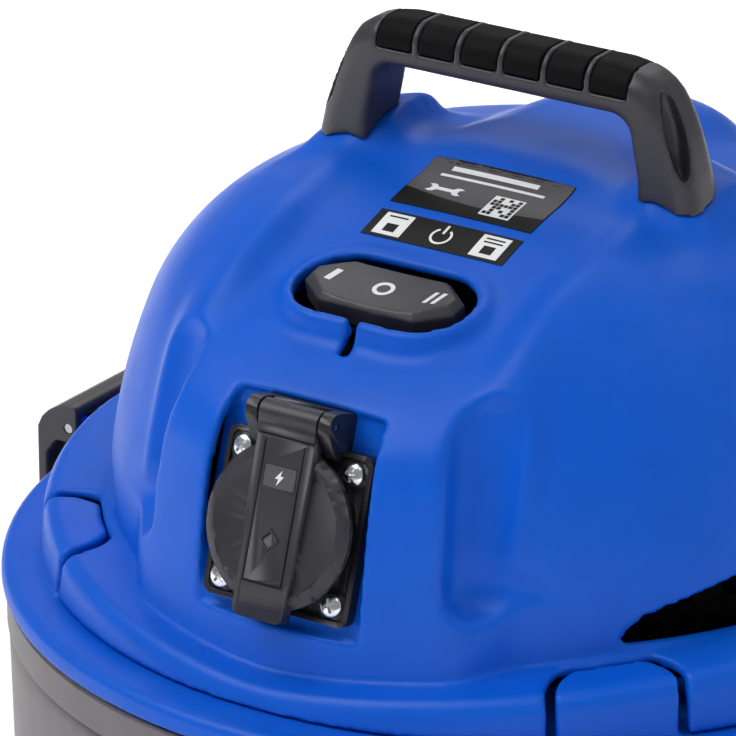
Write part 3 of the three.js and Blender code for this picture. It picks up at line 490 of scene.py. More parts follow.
def new_group(
    name: str, outputs: Iterable[str], inputs: dict[str, float],
) -> tuple[Graph, bpy.types.Node, bpy.types.Node]:
    """Starts a shader node group.

    Args:
        name: The group's name.
        outputs: The names of the values it gives.
        inputs: The values it takes and their defaults.

    Returns:
        Its graph, its input node and its output node.
    """
    tree = bpy.data.node_groups.new(name, "ShaderNodeTree")
    for label, value in inputs.items():
        socket = tree.interface.new_socket(label, in_out="INPUT", socket_type="NodeSocketFloat")
        socket.default_value = value
    for label in outputs:
        tree.interface.new_socket(label, in_out="OUTPUT", socket_type="NodeSocketFloat")
    graph = Graph(tree)
    return graph, graph.add("NodeGroupInput"), graph.add("NodeGroupOutput")


def build_surface_effect() -> bpy.types.NodeTree:
    """Builds the grain of a moulded surface: fine height, broad mottling and soft rubbed patches."""
    graph, given, out = new_group(Effect.SURFACE.value, ("Height", "Mottle", "Rubbed"), {"Scale": 900.0})
    where = graph.add("ShaderNodeTexCoord").outputs["Object"]
    grain = graph.add("ShaderNodeTexNoise", {"Vector": where, "Scale": given.outputs["Scale"]}, in_Detail=4.0)
    ripple = graph.noise(where, 38.0, 2.0)
    height = graph.maths("ADD", grain.outputs[0], graph.maths("MULTIPLY", ripple, 1.6))
    blotches = graph.maths("ADD", graph.noise(where, 14.0, 4.0), graph.noise(where, 95.0, 3.0))
    mottle = graph.maths("MULTIPLY", blotches, 0.5)
    patches = graph.spread(graph.noise(where, 22.0, 5.0, 0.62), 0.52, 0.74)
    graph.tree.links.new(height, out.inputs["Height"])
    graph.tree.links.new(mottle, out.inputs["Mottle"])
    graph.tree.links.new(patches, out.inputs["Rubbed"])
    return graph.tree


def build_wear_effect() -> bpy.types.NodeTree:
    """Builds a mask of worn edges, broken up by noise."""
    graph, given, out = new_group(Effect.WEAR.value, ("Mask",), {"Low": 0.53, "High": 0.6})
    where = graph.add("ShaderNodeTexCoord").outputs["Object"]
    edge = graph.add("ShaderNodeNewGeometry").outputs["Pointiness"]
    mask = graph.add(
        "ShaderNodeMapRange",
        {"Value": edge, "From Min": given.outputs["Low"], "From Max": given.outputs["High"]},
    )
    broken = graph.maths("MULTIPLY", mask.outputs[0], graph.spread(graph.noise(where, 160.0, 4.0), 0.4, 0.62))
    graph.tree.links.new(broken, out.inputs["Mask"])
    return graph.tree


def build_dust_effect() -> bpy.types.NodeTree:
    """Builds a thin mask of dust that lies on faces that look up."""
    graph, given, out = new_group(Effect.DUST.value, ("Mask",), {"Amount": 0.1})
    where = graph.add("ShaderNodeTexCoord").outputs["Object"]
    normal = graph.add("ShaderNodeNewGeometry").outputs["Normal"]
    upward = graph.add("ShaderNodeSeparateXYZ", {0: normal}).outputs["Z"]
    level = graph.spread(upward, 0.35, 0.95)
    patches = graph.spread(graph.noise(where, 60.0, 5.0), 0.38, 0.7)
    lying = graph.maths("MULTIPLY", level, patches)
    graph.tree.links.new(graph.maths("MULTIPLY", lying, given.outputs["Amount"]), out.inputs["Mask"])
    return graph.tree


BUILDERS = {
    Effect.SURFACE: build_surface_effect,
    Effect.WEAR: build_wear_effect,
    Effect.DUST: build_dust_effect,
}


def effect(which: Effect) -> bpy.types.NodeTree:
    """Gives an effect's node group, built the first time it is asked for."""
    return bpy.data.node_groups.get(which.value) or BUILDERS[which]()


@dataclass(frozen=True)
class Finish:
    """One material of the vacuum: its colour and how its surface is broken up."""

    name: str
    colour: str
    roughness: float = 0.45
    metallic: float = 0.0
    grain: float = 900.0
    depth: float = 0.02
    mottle: float = 0.08
    wear: float = 0.0
    worn: str = "#8A8A8C"
    dust: float = 0.04
    specular: float = 0.5

    def material(self) -> bpy.types.Material:
        """Gives the material, built the first time it is asked for."""
        return bpy.data.materials.get(self.name) or self.build()

    def build(self) -> bpy.types.Material:
        """Builds the material from the shared effects."""
        material = bpy.data.materials.new(self.name)
        material.use_nodes = True
        graph = Graph(material.node_tree)
        shader = material.node_tree.nodes["Principled BSDF"]
        surface = graph.add("ShaderNodeGroup", node_tree=effect(Effect.SURFACE), in_Scale=self.grain)
        wear = graph.add("ShaderNodeGroup", node_tree=effect(Effect.WEAR))
        dust = graph.add("ShaderNodeGroup", node_tree=effect(Effect.DUST), in_Amount=self.dust)
        base = linear(self.colour)
        darker = (*(v * (1 - self.mottle) for v in base[:3]), 1.0)
        lighter = (*(min(1.0, v * (1 + self.mottle)) for v in base[:3]), 1.0)
        colour = graph.mix(graph.spread(surface.outputs["Mottle"], 0.38, 0.62), darker, lighter)
        rubbed = graph.maths("MULTIPLY", wear.outputs["Mask"], self.wear)
        colour = graph.mix(rubbed, colour, linear(self.worn))
        colour = graph.mix(dust.outputs["Mask"], colour, linear("#B9B2A6"))
        roughest = min(1.0, self.roughness * 1.25)
        gloss = graph.spread(surface.outputs["Rubbed"], 0.0, 1.0, self.roughness, roughest)
        gloss = graph.maths("ADD", gloss, graph.maths("MULTIPLY", dust.outputs["Mask"], 0.4))
        bump = graph.add(
            "ShaderNodeBump", {"Height": surface.outputs["Height"]}, in_Strength=self.depth * 10,
            in_Distance=0.0001,
        )
        graph.tree.links.new(colour, shader.inputs["Base Color"])
        graph.tree.links.new(gloss, shader.inputs["Roughness"])
        graph.tree.links.new(bump.outputs["Normal"], shader.inputs["Normal"])
        shader.inputs["Metallic"].default_value = self.metallic
        shader.inputs["Specular IOR Level"].default_value = self.specular
        return material


BLUE_SHELL = Finish(
    "blue moulded cover", "#0058CC", 0.4, grain=1500.0, depth=0.012, mottle=0.04, wear=0.06, worn="#2F86E8",
    dust=0.01, specular=0.22,
)
TANK_GREY = Finish("grey tank plastic", "#655F63", 0.4, grain=1300.0, depth=0.02, dust=0.06)
DARK_GREY = Finish("dark grey plastic", "#312F36", 0.42, grain=1600.0, depth=0.02)
HANDLE_GREY = Finish(
    "dark grey moulding", "#302E35", 0.4, grain=1600.0, depth=0.02, wear=0.12, worn="#6A6870",
)
# Near-pure black with almost no shine. On the handle's pads it also paints the shade that lies deep in the
# pockets between the grip's ribs (painted shade).
SOFT_BLACK_AND_POCKET_SHADE = Finish(
    "soft black plastic and painted pocket shade", "#030304", 0.6, grain=2200.0, depth=0.03, mottle=0.04, specular=0.12, dust=0.0,
)
GLOSS_BLACK = Finish("black socket plastic", "#17171B", 0.34, grain=1500.0, depth=0.012)
LID_GREY = Finish("socket lid plastic", "#28272E", 0.42, grain=1700.0, depth=0.02)
RUBBER = Finish("black rubber", "#17171A", 0.75, grain=1200.0, depth=0.04, mottle=0.14, dust=0.1)
CASTOR_TYRE = Finish("castor tyre", "#1B1A1D", 0.55, grain=1100.0, depth=0.03, dust=0.16)
CHROME = Finish(
    "plated steel", "#D5D7DA", 0.2, metallic=1.0, grain=2600.0, depth=0.01, mottle=0.05, dust=0.01,
)
STEEL = Finish("drawn steel", "#A9ACB0", 0.34, metallic=1.0, grain=1900.0, depth=0.02, mottle=0.1)
COPPER = Finish(
    "varnished copper", "#9A5427", 0.35, metallic=0.8, grain=1400.0, depth=0.05, mottle=0.18, dust=0.05,
)
PAPER = Finish("pleated filter paper", "#DDD6C4", 0.85, grain=2600.0, depth=0.05, mottle=0.07, dust=0.18)
FLOAT_WHITE = Finish("white float plastic", "#DEDED8", 0.4, grain=1300.0, depth=0.01, mottle=0.04, dust=0.05)
LABEL_BLACK = Finish(
    "black label print", "#08080A", 0.4, grain=2600.0, depth=0.004, mottle=0.05, dust=0.01,
    specular=0.25,
)
LABEL_GREY = Finish(
    "grey label print", "#545256", 0.4, grain=2600.0, depth=0.004, mottle=0.04, dust=0.01,
    specular=0.25,
)
LABEL_WHITE = Finish("white label print", "#ECEDEE", 0.3, grain=2600.0, depth=0.004, mottle=0.03, dust=0.02)
MARK_WHITE = Finish("white switch mark", "#E6E6E8", 0.42, grain=2000.0, depth=0.01, mottle=0.05, wear=0.0)


def dress(piece: bpy.types.Object, *finishes: Finish) -> None:
    """Gives a piece its materials, in the order of its material numbers."""
    piece.data.materials.clear()
    for one in finishes:
        piece.data.materials.append(one.material())


def place_piece(
    piece: bpy.types.Object, name: str, body: str, finishes: Sequence[Finish], replaces: Sequence[str],
    place: Matrix = TO_HEAD,
) -> bpy.types.Object:
    """Puts a finished piece in the row frame, dresses it and fastens it to its body.

    Args:
        piece: The piece, in millimetres.
        name: Its name.
        body: The body that it moves with.
        finishes: Its materials, in the order of its material numbers.
        replaces: The CAD nodes that it stands for.
        place: Where it goes.

    Returns:
        The piece.
    """
    settle(piece, place)
    piece.name = piece.data.name = name
    if finishes:
        dress(piece, *finishes)
    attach(piece, body)
    if replaces:
        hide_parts(*replaces)
    log.info("%s: %d faces, on %s", name, len(piece.data.polygons), body)
    return piece


# ------------------------------------------------------------------ the head's outer surface


def soft_max(a: np.ndarray, b: np.ndarray | float, k: float) -> np.ndarray:
    """Gives the greater of two fields with the crease between them rounded over k."""
    return np.maximum(a, b) + np.maximum(k - np.abs(a - b), 0) ** 2 / k * 0.25


def soft_min(a: np.ndarray, b: np.ndarray | float, k: float) -> np.ndarray:
    """Gives the lesser of two fields with the crease between them rounded over k."""
    return -soft_max(-a, -b, k)


@dataclass(frozen=True)
class Wall:
    """The side of the dome: its radius at the foot and how it curves in above."""

    radius: float
    bulge: float
    from_height: float

    def at(self, z: np.ndarray) -> np.ndarray:
        """Gives the wall's radius at heights."""
        return self.radius - self.bulge * np.maximum(z - self.from_height, 0) ** 2


@dataclass(frozen=True)
class Dome:
    """The sculpted surface of the motor cover, as a field that is negative inside, in the head's frame."""

    flank: Wall = Wall(124.0, 0.003, 21.0)
    nose: Wall = Wall(132.0, 0.0022, 20.0)
    nose_half_width: float = 62.0
    nose_top: float = 129.3
    nose_slope: float = 0.372
    nose_bend: float = 35.0
    panel_half_width: float = 45.0
    panel_from: float = -10.0
    crown_top: float = 131.0
    crown_drop: float = 0.0016
    spine_half_width: float = 25.0
    spine_top: float = 134.5
    spine_drop: float = 0.0022
    spine_level_to: float = 35.0
    spine_ramp: float = 0.6
    pylon_x: float = 58.0
    pylon_y: float = -4.0
    pylon_half_x: float = 10.5
    pylon_top: float = 131.0
    pylon_outwards: float = 0.3
    pylon_backwards: float = 0.35
    pylon_crest: float = 5.5
    pylon_crest_y: float = 10.0
    pylon_fall: float = 0.42
    pylon_behind: float = 24.0
    switch_y: float = -74.0
    switch_z: float = 112.5
    switch_tilt: float = 12.0
    switch_half_run: float = 13.5
    switch_radius: float = 15.4
    collar_lip: float = 3.4
    channel_low: tuple[float, float, float] = (59.5, -115.0, 48.0)
    channel_high: tuple[float, float, float] = (57.5, -105.5, 96.0)
    channel_end: tuple[float, float, float] = (77.5, -99.0, 45.5)
    channel_radius: float = 9.5
    eye: float = 20.0

    def nose_height(self, y: np.ndarray) -> np.ndarray:
        """Gives the height of the sloping front face."""
        run = np.maximum(0, -y - 2)
        bend = self.nose_bend
        return self.nose_top - self.nose_slope * np.where(run < bend, run**2 / (2 * bend), run - bend / 2)

    def channel(self, x: np.ndarray, y: np.ndarray, z: np.ndarray) -> np.ndarray:
        """Gives the field of the hollow that runs down between nose and flank and turns under the flank.

        Args:
            x: Points' distance from the middle plane.
            y: Points' y.
            z: Points' z.

        Returns:
            The field, negative inside the hollow.
        """
        points = np.stack(np.broadcast_arrays(x, y, z), axis=-1)
        corner = np.array(self.channel_low)
        nearest = None
        for end, grow in ((self.channel_high, 4.0), (self.channel_end, -6.5)):
            way = np.array(end) - corner
            share = np.clip(((points - corner) @ way) / (way @ way), 0, 1)
            off = points - corner - share[..., None] * way
            distance = np.sqrt((off**2).sum(axis=-1)) - self.channel_radius - grow * share
            nearest = distance if nearest is None else soft_min(nearest, distance, 5)
        return nearest

    def field(self, x: np.ndarray, y: np.ndarray, z: np.ndarray) -> np.ndarray:
        """Gives about the distance of points from the surface."""
        r = np.hypot(x, y)
        ax = np.abs(x)
        flank = soft_max(r - self.flank.at(z), z - (self.crown_top - self.crown_drop * r * r), 26)
        sides = soft_max(ax - self.nose_half_width, r - self.nose.at(z), 12)
        nose = soft_max(soft_max(sides, z - self.nose_height(y), 20), y - 14, 12)
        spine_top = self.spine_top - self.spine_drop * np.maximum(0, y - self.spine_level_to) ** 2
        ridge = soft_max(z - spine_top, z - 130 - self.spine_ramp * (y + 2), 8)
        spine = soft_max(soft_max(ax - self.spine_half_width, r - self.flank.at(z) + 2, 14), ridge, 16)
        falling = self.pylon_crest - self.pylon_fall * (y - self.pylon_crest_y)
        rise = soft_min(self.pylon_backwards * (y - self.pylon_y), falling, 6)
        foot_top = z - self.pylon_top + self.pylon_outwards * (ax - self.pylon_x) - rise
        behind = soft_max(-6 - (y - self.pylon_y), y - self.pylon_behind, 8)
        foot_sides = soft_max(np.abs(ax - self.pylon_x + 2) - self.pylon_half_x, behind, 8)
        body = soft_min(soft_min(soft_min(flank, nose, 7), spine, 12), soft_max(foot_sides, foot_top, 3), 14)
        above_front = soft_max(ax - self.panel_half_width, self.nose_height(y) - z, 8)
        panel = soft_max(above_front, y - self.panel_from, 12)
        body = soft_max(body, -panel, 10)
        body = soft_max(body, -self.channel(ax, y, z), 1.5)
        tilt = math.radians(self.switch_tilt)
        dy, dz = y - self.switch_y, z - self.switch_z
        along = dy * math.cos(tilt) + dz * math.sin(tilt)
        above = dz * math.cos(tilt) - dy * math.sin(tilt)
        beyond = np.hypot(np.maximum(ax - self.switch_half_run, 0), along)
        collar = soft_max(beyond - self.switch_radius - self.collar_lip, above, 2.5)
        return soft_min(body, soft_max(collar, -above - 20, 2), 5)

    def reach(self, angle: np.ndarray, climb: np.ndarray, offset: float) -> np.ndarray:
        """Gives how far along rays from the eye point the surface, moved out by offset, is met.

        Args:
            angle: The rays' directions round Z.
            climb: The rays' angles above level.
            offset: How far the surface is moved out.

        Returns:
            The distances.
        """
        cx, cy, cz = np.cos(climb) * np.cos(angle), np.cos(climb) * np.sin(angle), np.sin(climb)
        low, high = np.full(angle.shape, 20.0), np.full(angle.shape, 180.0)
        for _ in range(34):
            middle = (low + high) / 2
            inside = self.field(cx * middle, cy * middle, self.eye + cz * middle) < offset
            low, high = np.where(inside, middle, low), np.where(inside, high, middle)
        return (low + high) / 2

    def skin(self, columns: int, rows: int, offset: float, foot: "Deck | float", extra: float) -> np.ndarray:
        """Gives the surface as a grid of points.

        Args:
            columns: How many directions round Z.
            rows: How many points from the foot to the axis.
            offset: How far the surface is moved out.
            foot: The deck that it stands on, or one height for all of it.
            extra: A height added to the foot.

        Returns:
            An array of (columns, rows, 3).
        """
        angle = np.linspace(0, 2 * np.pi, columns, endpoint=False)[:, None]
        base = np.full_like(angle, foot) if isinstance(foot, float) else foot.height(angle)
        wall = self.reach(angle, np.zeros_like(angle), offset)
        start = np.arctan2(base + extra - self.eye, wall)
        climb = start + (np.pi / 2 - start) * np.linspace(0, 1, rows)[None, :]
        angles = np.broadcast_to(angle, climb.shape)
        reach = self.reach(angles, climb, offset)
        flat = reach * np.cos(climb)
        flat[:, -1] = 0
        return np.stack(
            [flat * np.cos(angles), flat * np.sin(angles), self.eye + reach * np.sin(climb)], axis=2,
        )


@dataclass(frozen=True)
class Deck:
    """The sloping ledge round the dome's foot, in the head's frame."""

    edge_radius: float = 145.0
    crease_radius: float = 141.5
    front_height: float = 13.0
    side_rise: float = 16.0
    seat: float = 8.3

    def height(self, angle: np.ndarray) -> np.ndarray:
        """Gives the crease's height in directions round Z."""
        x = self.crease_radius * np.cos(angle)
        return self.front_height + self.side_rise * np.hypot(x / 142, 0.1)

    def band(self, columns: int, outline: Sequence[tuple[float, float, float]]) -> np.ndarray:
        """Gives rows of points round Z.

        Args:
            columns: How many directions.
            outline: For each row its radius, its height, and the share of the crease's height added to it.

        Returns:
            An array of (columns, rows, 3).
        """
        angle = np.linspace(0, 2 * np.pi, columns, endpoint=False)
        top = self.height(angle)
        rows = [
            np.stack([r * np.cos(angle), r * np.sin(angle), z + share * top], axis=1)
            for r, z, share in outline
        ]
        return np.stack(rows, axis=1)


def swept(grid: np.ndarray) -> bpy.types.Object:
    """Spins a template and moves its points onto a grid.

    Args:
        grid: Points of (columns, rows, 3), where the rows make a closed outline or end on the axis.

    Returns:
        The closed solid.
    """
    columns, rows, _ = grid.shape
    template = bpy.data.meshes.new("template")
    faces = []
    for i in range(columns):
        j = (i + 1) % columns
        faces += [(i * rows + k, j * rows + k, j * rows + k + 1, i * rows + k + 1) for k in range(rows - 1)]
        faces.append((i * rows + rows - 1, j * rows + rows - 1, j * rows, i * rows))
    template.from_pydata(grid.reshape(-1, 3).tolist(), [], faces)
    piece = bpy.data.objects.new("swept", template)
    bpy.context.scene.collection.objects.link(piece)
    tidy_mesh(piece, 1e-3)
    return piece


# ------------------------------------------------------------------ tank, inlet and castors


@dataclass
class Tank:
    """The round dust and water container, in the head's frame."""

    top_radius: float = 155.5
    bottom_radius: float = 150.0
    wall: float = 2.6
    height: float = 270.0
    rim_drop: float = 1.2
    foot_round: float = 9.0
    floor_wall: float = 3.4
    bead_heights: tuple[float, float] = (-236.0, -120.0)
    bead_depth: float = 1.1
    bead_half: float = 5.0
    inlet_height: float = -72.0
    inlet_radius: float = 25.3

    def body(self) -> bpy.types.Object:
        """Spins the wall, with shallow stiffening beads round it and a rolled rim."""
        top, low, wall = -self.rim_drop, -self.height, self.wall
        side = []
        for share in np.linspace(0, 1, 40):
            z = low + self.foot_round + (top - 16 - low - self.foot_round) * share
            r = self.bottom_radius + (self.top_radius - self.bottom_radius) * (z - low) / (top - low) - 0.3
            dip = sum(
                self.bead_depth * max(0.0, 1 - abs(z - height) / self.bead_half)
                for height in self.bead_heights
            )
            side.append((r - dip, z))
        middle = (self.bottom_radius - self.foot_round, low + self.foot_round)
        foot = arc(*middle, self.foot_round, -90, 0, 8)
        inner = arc(*middle, self.foot_round - wall, 0, -90, 6)
        rim = self.top_radius
        outline = [
            (0.0, low), *foot, *side[1:], (rim - 2.4, top - 12.5), (rim, top - 11), (rim, top - 0.9),
            (rim - 0.9, top), (rim - 6.1, top), (rim - 7, top - 0.9), (rim - 7, top - 4),
            (rim - wall - 0.3, top - 6.5), *inner, (0.0, low + self.floor_wall),
        ]
        return turned(outline, 128)

    def lug(self, turn: float) -> bpy.types.Object:
        """Makes the ledge that a latch hooks under."""
        ledge = block((self.top_radius - 2, -12, -11.6), (self.top_radius + 3.9, 12, -7), 1.0)
        return settle(ledge, about("Z", turn))

    def build(self) -> None:
        """Makes the tank with its inlet hole and its two ledges."""
        piece = self.body()
        hole = settle(rod(self.inlet_radius, 120, 180, 64), shift(0, 0, self.inlet_height) @ about("X", 90))
        shape(piece, Cut.AWAY, hole)
        shape(piece, Cut.ON, self.lug(0), self.lug(180))
        place_piece(shade(piece), "tank_shell", "tank_body", [TANK_GREY], ["tank"])


@dataclass
class InletPort:
    """The hose inlet at the front of the tank, built along Z and then laid towards the front."""

    height: float = -72.0
    bore: float = 19.5
    tube: float = 25.0
    reach: float = 171.9
    flange: float = 35.0
    face: float = 160.9
    screw_circle: float = 30.0

    def build(self) -> None:
        """Makes the flange and tube, the bayonet slots and four screw heads."""
        outline = [
            (self.bore, 145.5), (self.flange - 0.3, 145.5), (self.flange - 0.3, self.face - 2),
            (self.flange - 2, self.face), (self.tube + 2.2, self.face), (self.tube + 0.6, self.face + 0.8),
            (self.tube, self.face + 2), (self.tube, self.reach - 4.6), (self.tube + 1.9, self.reach - 3.6),
            (self.tube + 1.9, self.reach - 0.6), (self.tube + 1.2, self.reach), (self.bore + 1.4, self.reach),
            (self.bore, self.reach - 1.4),
        ]
        piece = turned(outline, 96)
        wall = settle(rod(155.0, -60, 60, 128), about("X", 90))
        shape(piece, Cut.AWAY, wall)
        for turn in (0, 180):
            slot = block((self.bore - 1, -3, self.reach - 9), (self.bore + 2.4, 3, self.reach + 2), 0.5)
            shape(piece, Cut.AWAY, settle(slot, about("Z", turn)))
        place = TO_HEAD @ shift(0, 0, self.height) @ about("X", 90)
        round_edges(piece, 0.3, 1)
        place_piece(piece, "inlet_fitting", "tank_body", [DARK_GREY], ["inlet_port"], place)
        for number, turn in enumerate(CORNERS, 1):
            a = math.radians(turn)
            x, y = self.screw_circle * math.cos(a), self.screw_circle * math.sin(a)
            screw = pan_head_screw(2.6, 1.6)
            settle(screw, shift(x, y, self.face - 0.9))
            place_piece(screw, f"inlet_screw_{number}", "tank_body", [STEEL], [], place)


def pan_head_screw(radius: float, rise: float) -> bpy.types.Object:
    """Makes a domed screw head with a cross recess, standing on z = 0.

    Args:
        radius: The head's radius.
        rise: The head's height.

    Returns:
        The screw head.
    """
    dome = [
        (radius * math.cos(a), rise * (0.35 + 0.65 * math.sin(a)))
        for a in np.linspace(0, math.pi / 2, 9)
    ]
    dome[-1] = (0.0, rise)
    piece = turned([(0.0, -0.6), (radius, -0.6), *dome], 40)
    for turn in (0, 90):
        arm = block((-radius * 0.62, -radius * 0.14, rise * 0.3), (radius * 0.62, radius * 0.14, rise * 2))
        shape(piece, Cut.AWAY, settle(arm, about("Z", turn + 20)))
    pit = block((-radius * 0.2, -radius * 0.2, rise * 0.2), (radius * 0.2, radius * 0.2, rise * 2))
    shape(piece, Cut.AWAY, settle(pit, about("Z", 65)))
    return round_edges(piece, 0.06, 1)


@dataclass
class CastorBase:
    """The tray under the tank with an arm and a boss for each castor, in the floor frame."""

    bottom: float = 46.0
    rim_radius: float = 156.4
    rim_wall: float = 3.2
    rim_top: float = 67.9
    stem_radius: float = 207.0
    arm_half_width: float = 24.0
    arm_top: float = 65.9
    tank_floor: float = 47.7
    boss_radius: float = 9.5
    bore_radius: float = 4.7
    bore_top: float = 61.5
    rib_offset: float = 11.0

    def tray(self) -> bpy.types.Object:
        """Spins the tray with a rounded foot and rim."""
        r, wall = self.rim_radius, self.rim_wall
        outline = [
            (0.0, self.bottom), *arc(r - 5, self.bottom + 5, 5, -90, 0, 6), (r, self.rim_top - 1.2),
            (r - 1.2, self.rim_top), (r - wall + 0.8, self.rim_top), (r - wall, self.rim_top - 1),
            (r - wall, self.tank_floor + 1), (r - wall - 1, self.tank_floor), (0.0, self.tank_floor),
        ]
        return turned(outline, 128)

    def arm(self, shrink: float, low: float, high: float) -> bpy.types.Object:
        """Makes an arm's block, smaller all round by shrink."""
        half = self.arm_half_width - shrink
        outline = [
            (135.0, -half - 3), (160.0, -half - 1), *arc(self.stem_radius, 0, half, -90, 90, 24),
            (160.0, half + 1), (135.0, half + 3),
        ]
        return plate(outline, low, high)

    def build(self) -> None:
        """Makes the tray with four hollow arms, each with ribs and a boss."""
        piece = self.tray()
        for turn in CORNERS:
            arm = round_edges(self.arm(0, self.bottom, self.arm_top), 2.2, 3, 60)
            pocket = self.arm(3, self.bottom - 1, self.arm_top - 3)
            shape(pocket, Cut.AWAY, rod(self.rim_radius - 0.5, 0, 100, 96))
            shape(arm, Cut.AWAY, pocket)
            shape(arm, Cut.ON, rod(self.boss_radius, self.bottom, self.arm_top - 2, 40, self.stem_radius))
            for offset in (-self.rib_offset, self.rib_offset):
                rib = block((156, offset - 1, self.bottom), (self.stem_radius, offset + 1, self.arm_top - 2))
                shape(arm, Cut.ON, rib)
            shape(arm, Cut.AWAY, rod(self.bore_radius, self.bottom - 1, self.bore_top, 32, self.stem_radius))
            shape(arm, Cut.AWAY, rod(self.rim_radius - self.rim_wall + 0.2, self.tank_floor, 100, 128))
            shape(piece, Cut.ON, settle(arm, about("Z", turn)))
        place_piece(shade(piece), "castor_tray", "tank_body", [DARK_GREY], ["castor_base"], TO_FLOOR)


@dataclass
class Castor:
    """One swivelling castor, built on +X with its stem at the origin, in the floor frame."""

    wheel_radius: float = 20.0
    wheel_width: float = 15.0
    trail: float = 12.0
    stem: float = 4.5
    stem_top: float = 61.0
    cheek: float = 2.4
    axle: float = 2.5
    top: float = 45.7

    def along_axle(self) -> Matrix:
        """Gives the turn and move that lays a piece built on Z along the axle."""
        return shift(self.trail, 0, self.wheel_radius) @ about("X", 90)

    def fork(self) -> bpy.types.Object:
        """Makes the cap, the two cheeks and the stem as one moulding."""
        low, inside = self.wheel_radius * 2 + 1.2, self.wheel_width / 2 + 0.8
        cap = plate(rounded_box(14, inside + self.cheek, 5), low, self.top)
        piece = settle(cap, shift(3, 0, 0))
        outline = [
            (-8.0, self.top - 1), (16.0, self.top - 1),
            *arc(self.trail, self.wheel_radius, 5.5, 0, -180, 12),
        ]
        for side in (-1, 1):
            middle = side * (inside + self.cheek / 2)
            cheek = plate(outline, -self.cheek / 2, self.cheek / 2)
            shape(piece, Cut.ON, settle(cheek, shift(0, middle, 0) @ about("X", 90)))
        shape(piece, Cut.ON, rod(self.stem, self.top - 1, self.stem_top, 32))
        bore = settle(rod(self.axle + 0.2, -30, 30, 32), self.along_axle())
        return round_edges(shape(piece, Cut.AWAY, bore), 0.5, 2, 50)

    def wheel(self) -> bpy.types.Object:
        """Spins the wheel, with a grooved tread and a dished hub, and cuts its spokes."""
        r, half, hub = self.wheel_radius, self.wheel_width / 2, self.axle + 0.3
        face = [
            (hub, half), (5.6, half), (6.4, half - 1.2), (12.4, half - 2.6), (14.2, half - 1.4),
            (17.2, half), (r - 1.2, half - 0.7), (r, half - 2.2),
        ]
        groove = [(r, 1.2), (r - 0.8, 0.7), (r - 0.8, -0.7), (r, -1.2)]
        piece = turned([*face, *groove, *[(x, -z) for x, z in reversed(face)]], 64)
        for turn in range(0, 360, 60):
            pit = rod(2.2, -half - 1, -half + 3.4, 20, 9.6)
            twin = rod(2.2, half - 3.4, half + 1, 20, 9.6)
            shape(piece, Cut.AWAY, settle(pit, about("Z", turn)), settle(twin, about("Z", turn)))
        return settle(round_edges(piece, 0.35, 2, 40), self.along_axle())

    def pin(self) -> bpy.types.Object:
        """Spins the axle with its domed ends."""
        end = self.wheel_width / 2 + 0.8 + self.cheek + 0.5
        rim = [(self.axle, end - 0.5), (self.axle - 0.6, end), (0.0, end)]
        piece = turned([(0.0, -end), (self.axle - 0.6, -end), (self.axle, -end + 0.5), *rim], 32)
        return settle(shade(piece), self.along_axle())

    def build(self) -> None:
        """Makes one castor and copies it to the four arms."""
        fork, wheel, pin = self.fork(), self.wheel(), self.pin()
        for number, turn in enumerate(CORNERS, 1):
            place = TO_FLOOR @ about("Z", turn) @ shift(CastorBase.stem_radius, 0, 0)
            parts = (
                (fork, "castor_yoke", f"castor_{number}", DARK_GREY, "castor_fork"),
                (wheel, "castor_tread", f"castor_wheel_{number}", CASTOR_TYRE, "castor_wheel"),
                (pin, "castor_pin", f"castor_{number}", STEEL, "castor_axle"),
            )
            for piece, name, body, finish, node in parts:
                copy = copy_of(piece)
                place_piece(copy, f"{name}_{number}", body, [finish], [f"{node}_{number}"], place)
        for piece in (fork, wheel, pin):
            bpy.data.objects.remove(piece)


# ------------------------------------------------------------------ lid ring and motor cover


@dataclass
class Tongue:
    """The four half-round tongues of the lid ring, which stand in notches of the motor cover."""

    angle: float = 43.7
    half_width: float = 17.5
    gap: float = 2.8
    crease_radius: float = Deck.crease_radius

    def outline(self, gap: float) -> list[Point]:
        """Gives a tongue's outline on the +X side, wider by gap all round."""
        half = self.half_width + gap
        return [*arc(self.crease_radius, 0, half, 90, 270, 40), (167.0, -half), (167.0, half)]

    def blocks(self, gap: float) -> list[bpy.types.Object]:
        """Makes the four tongues' upright blocks."""
        return [settle(plate(self.outline(gap), 0, 60), about("Z", self.angle + 90 * i)) for i in range(4)]


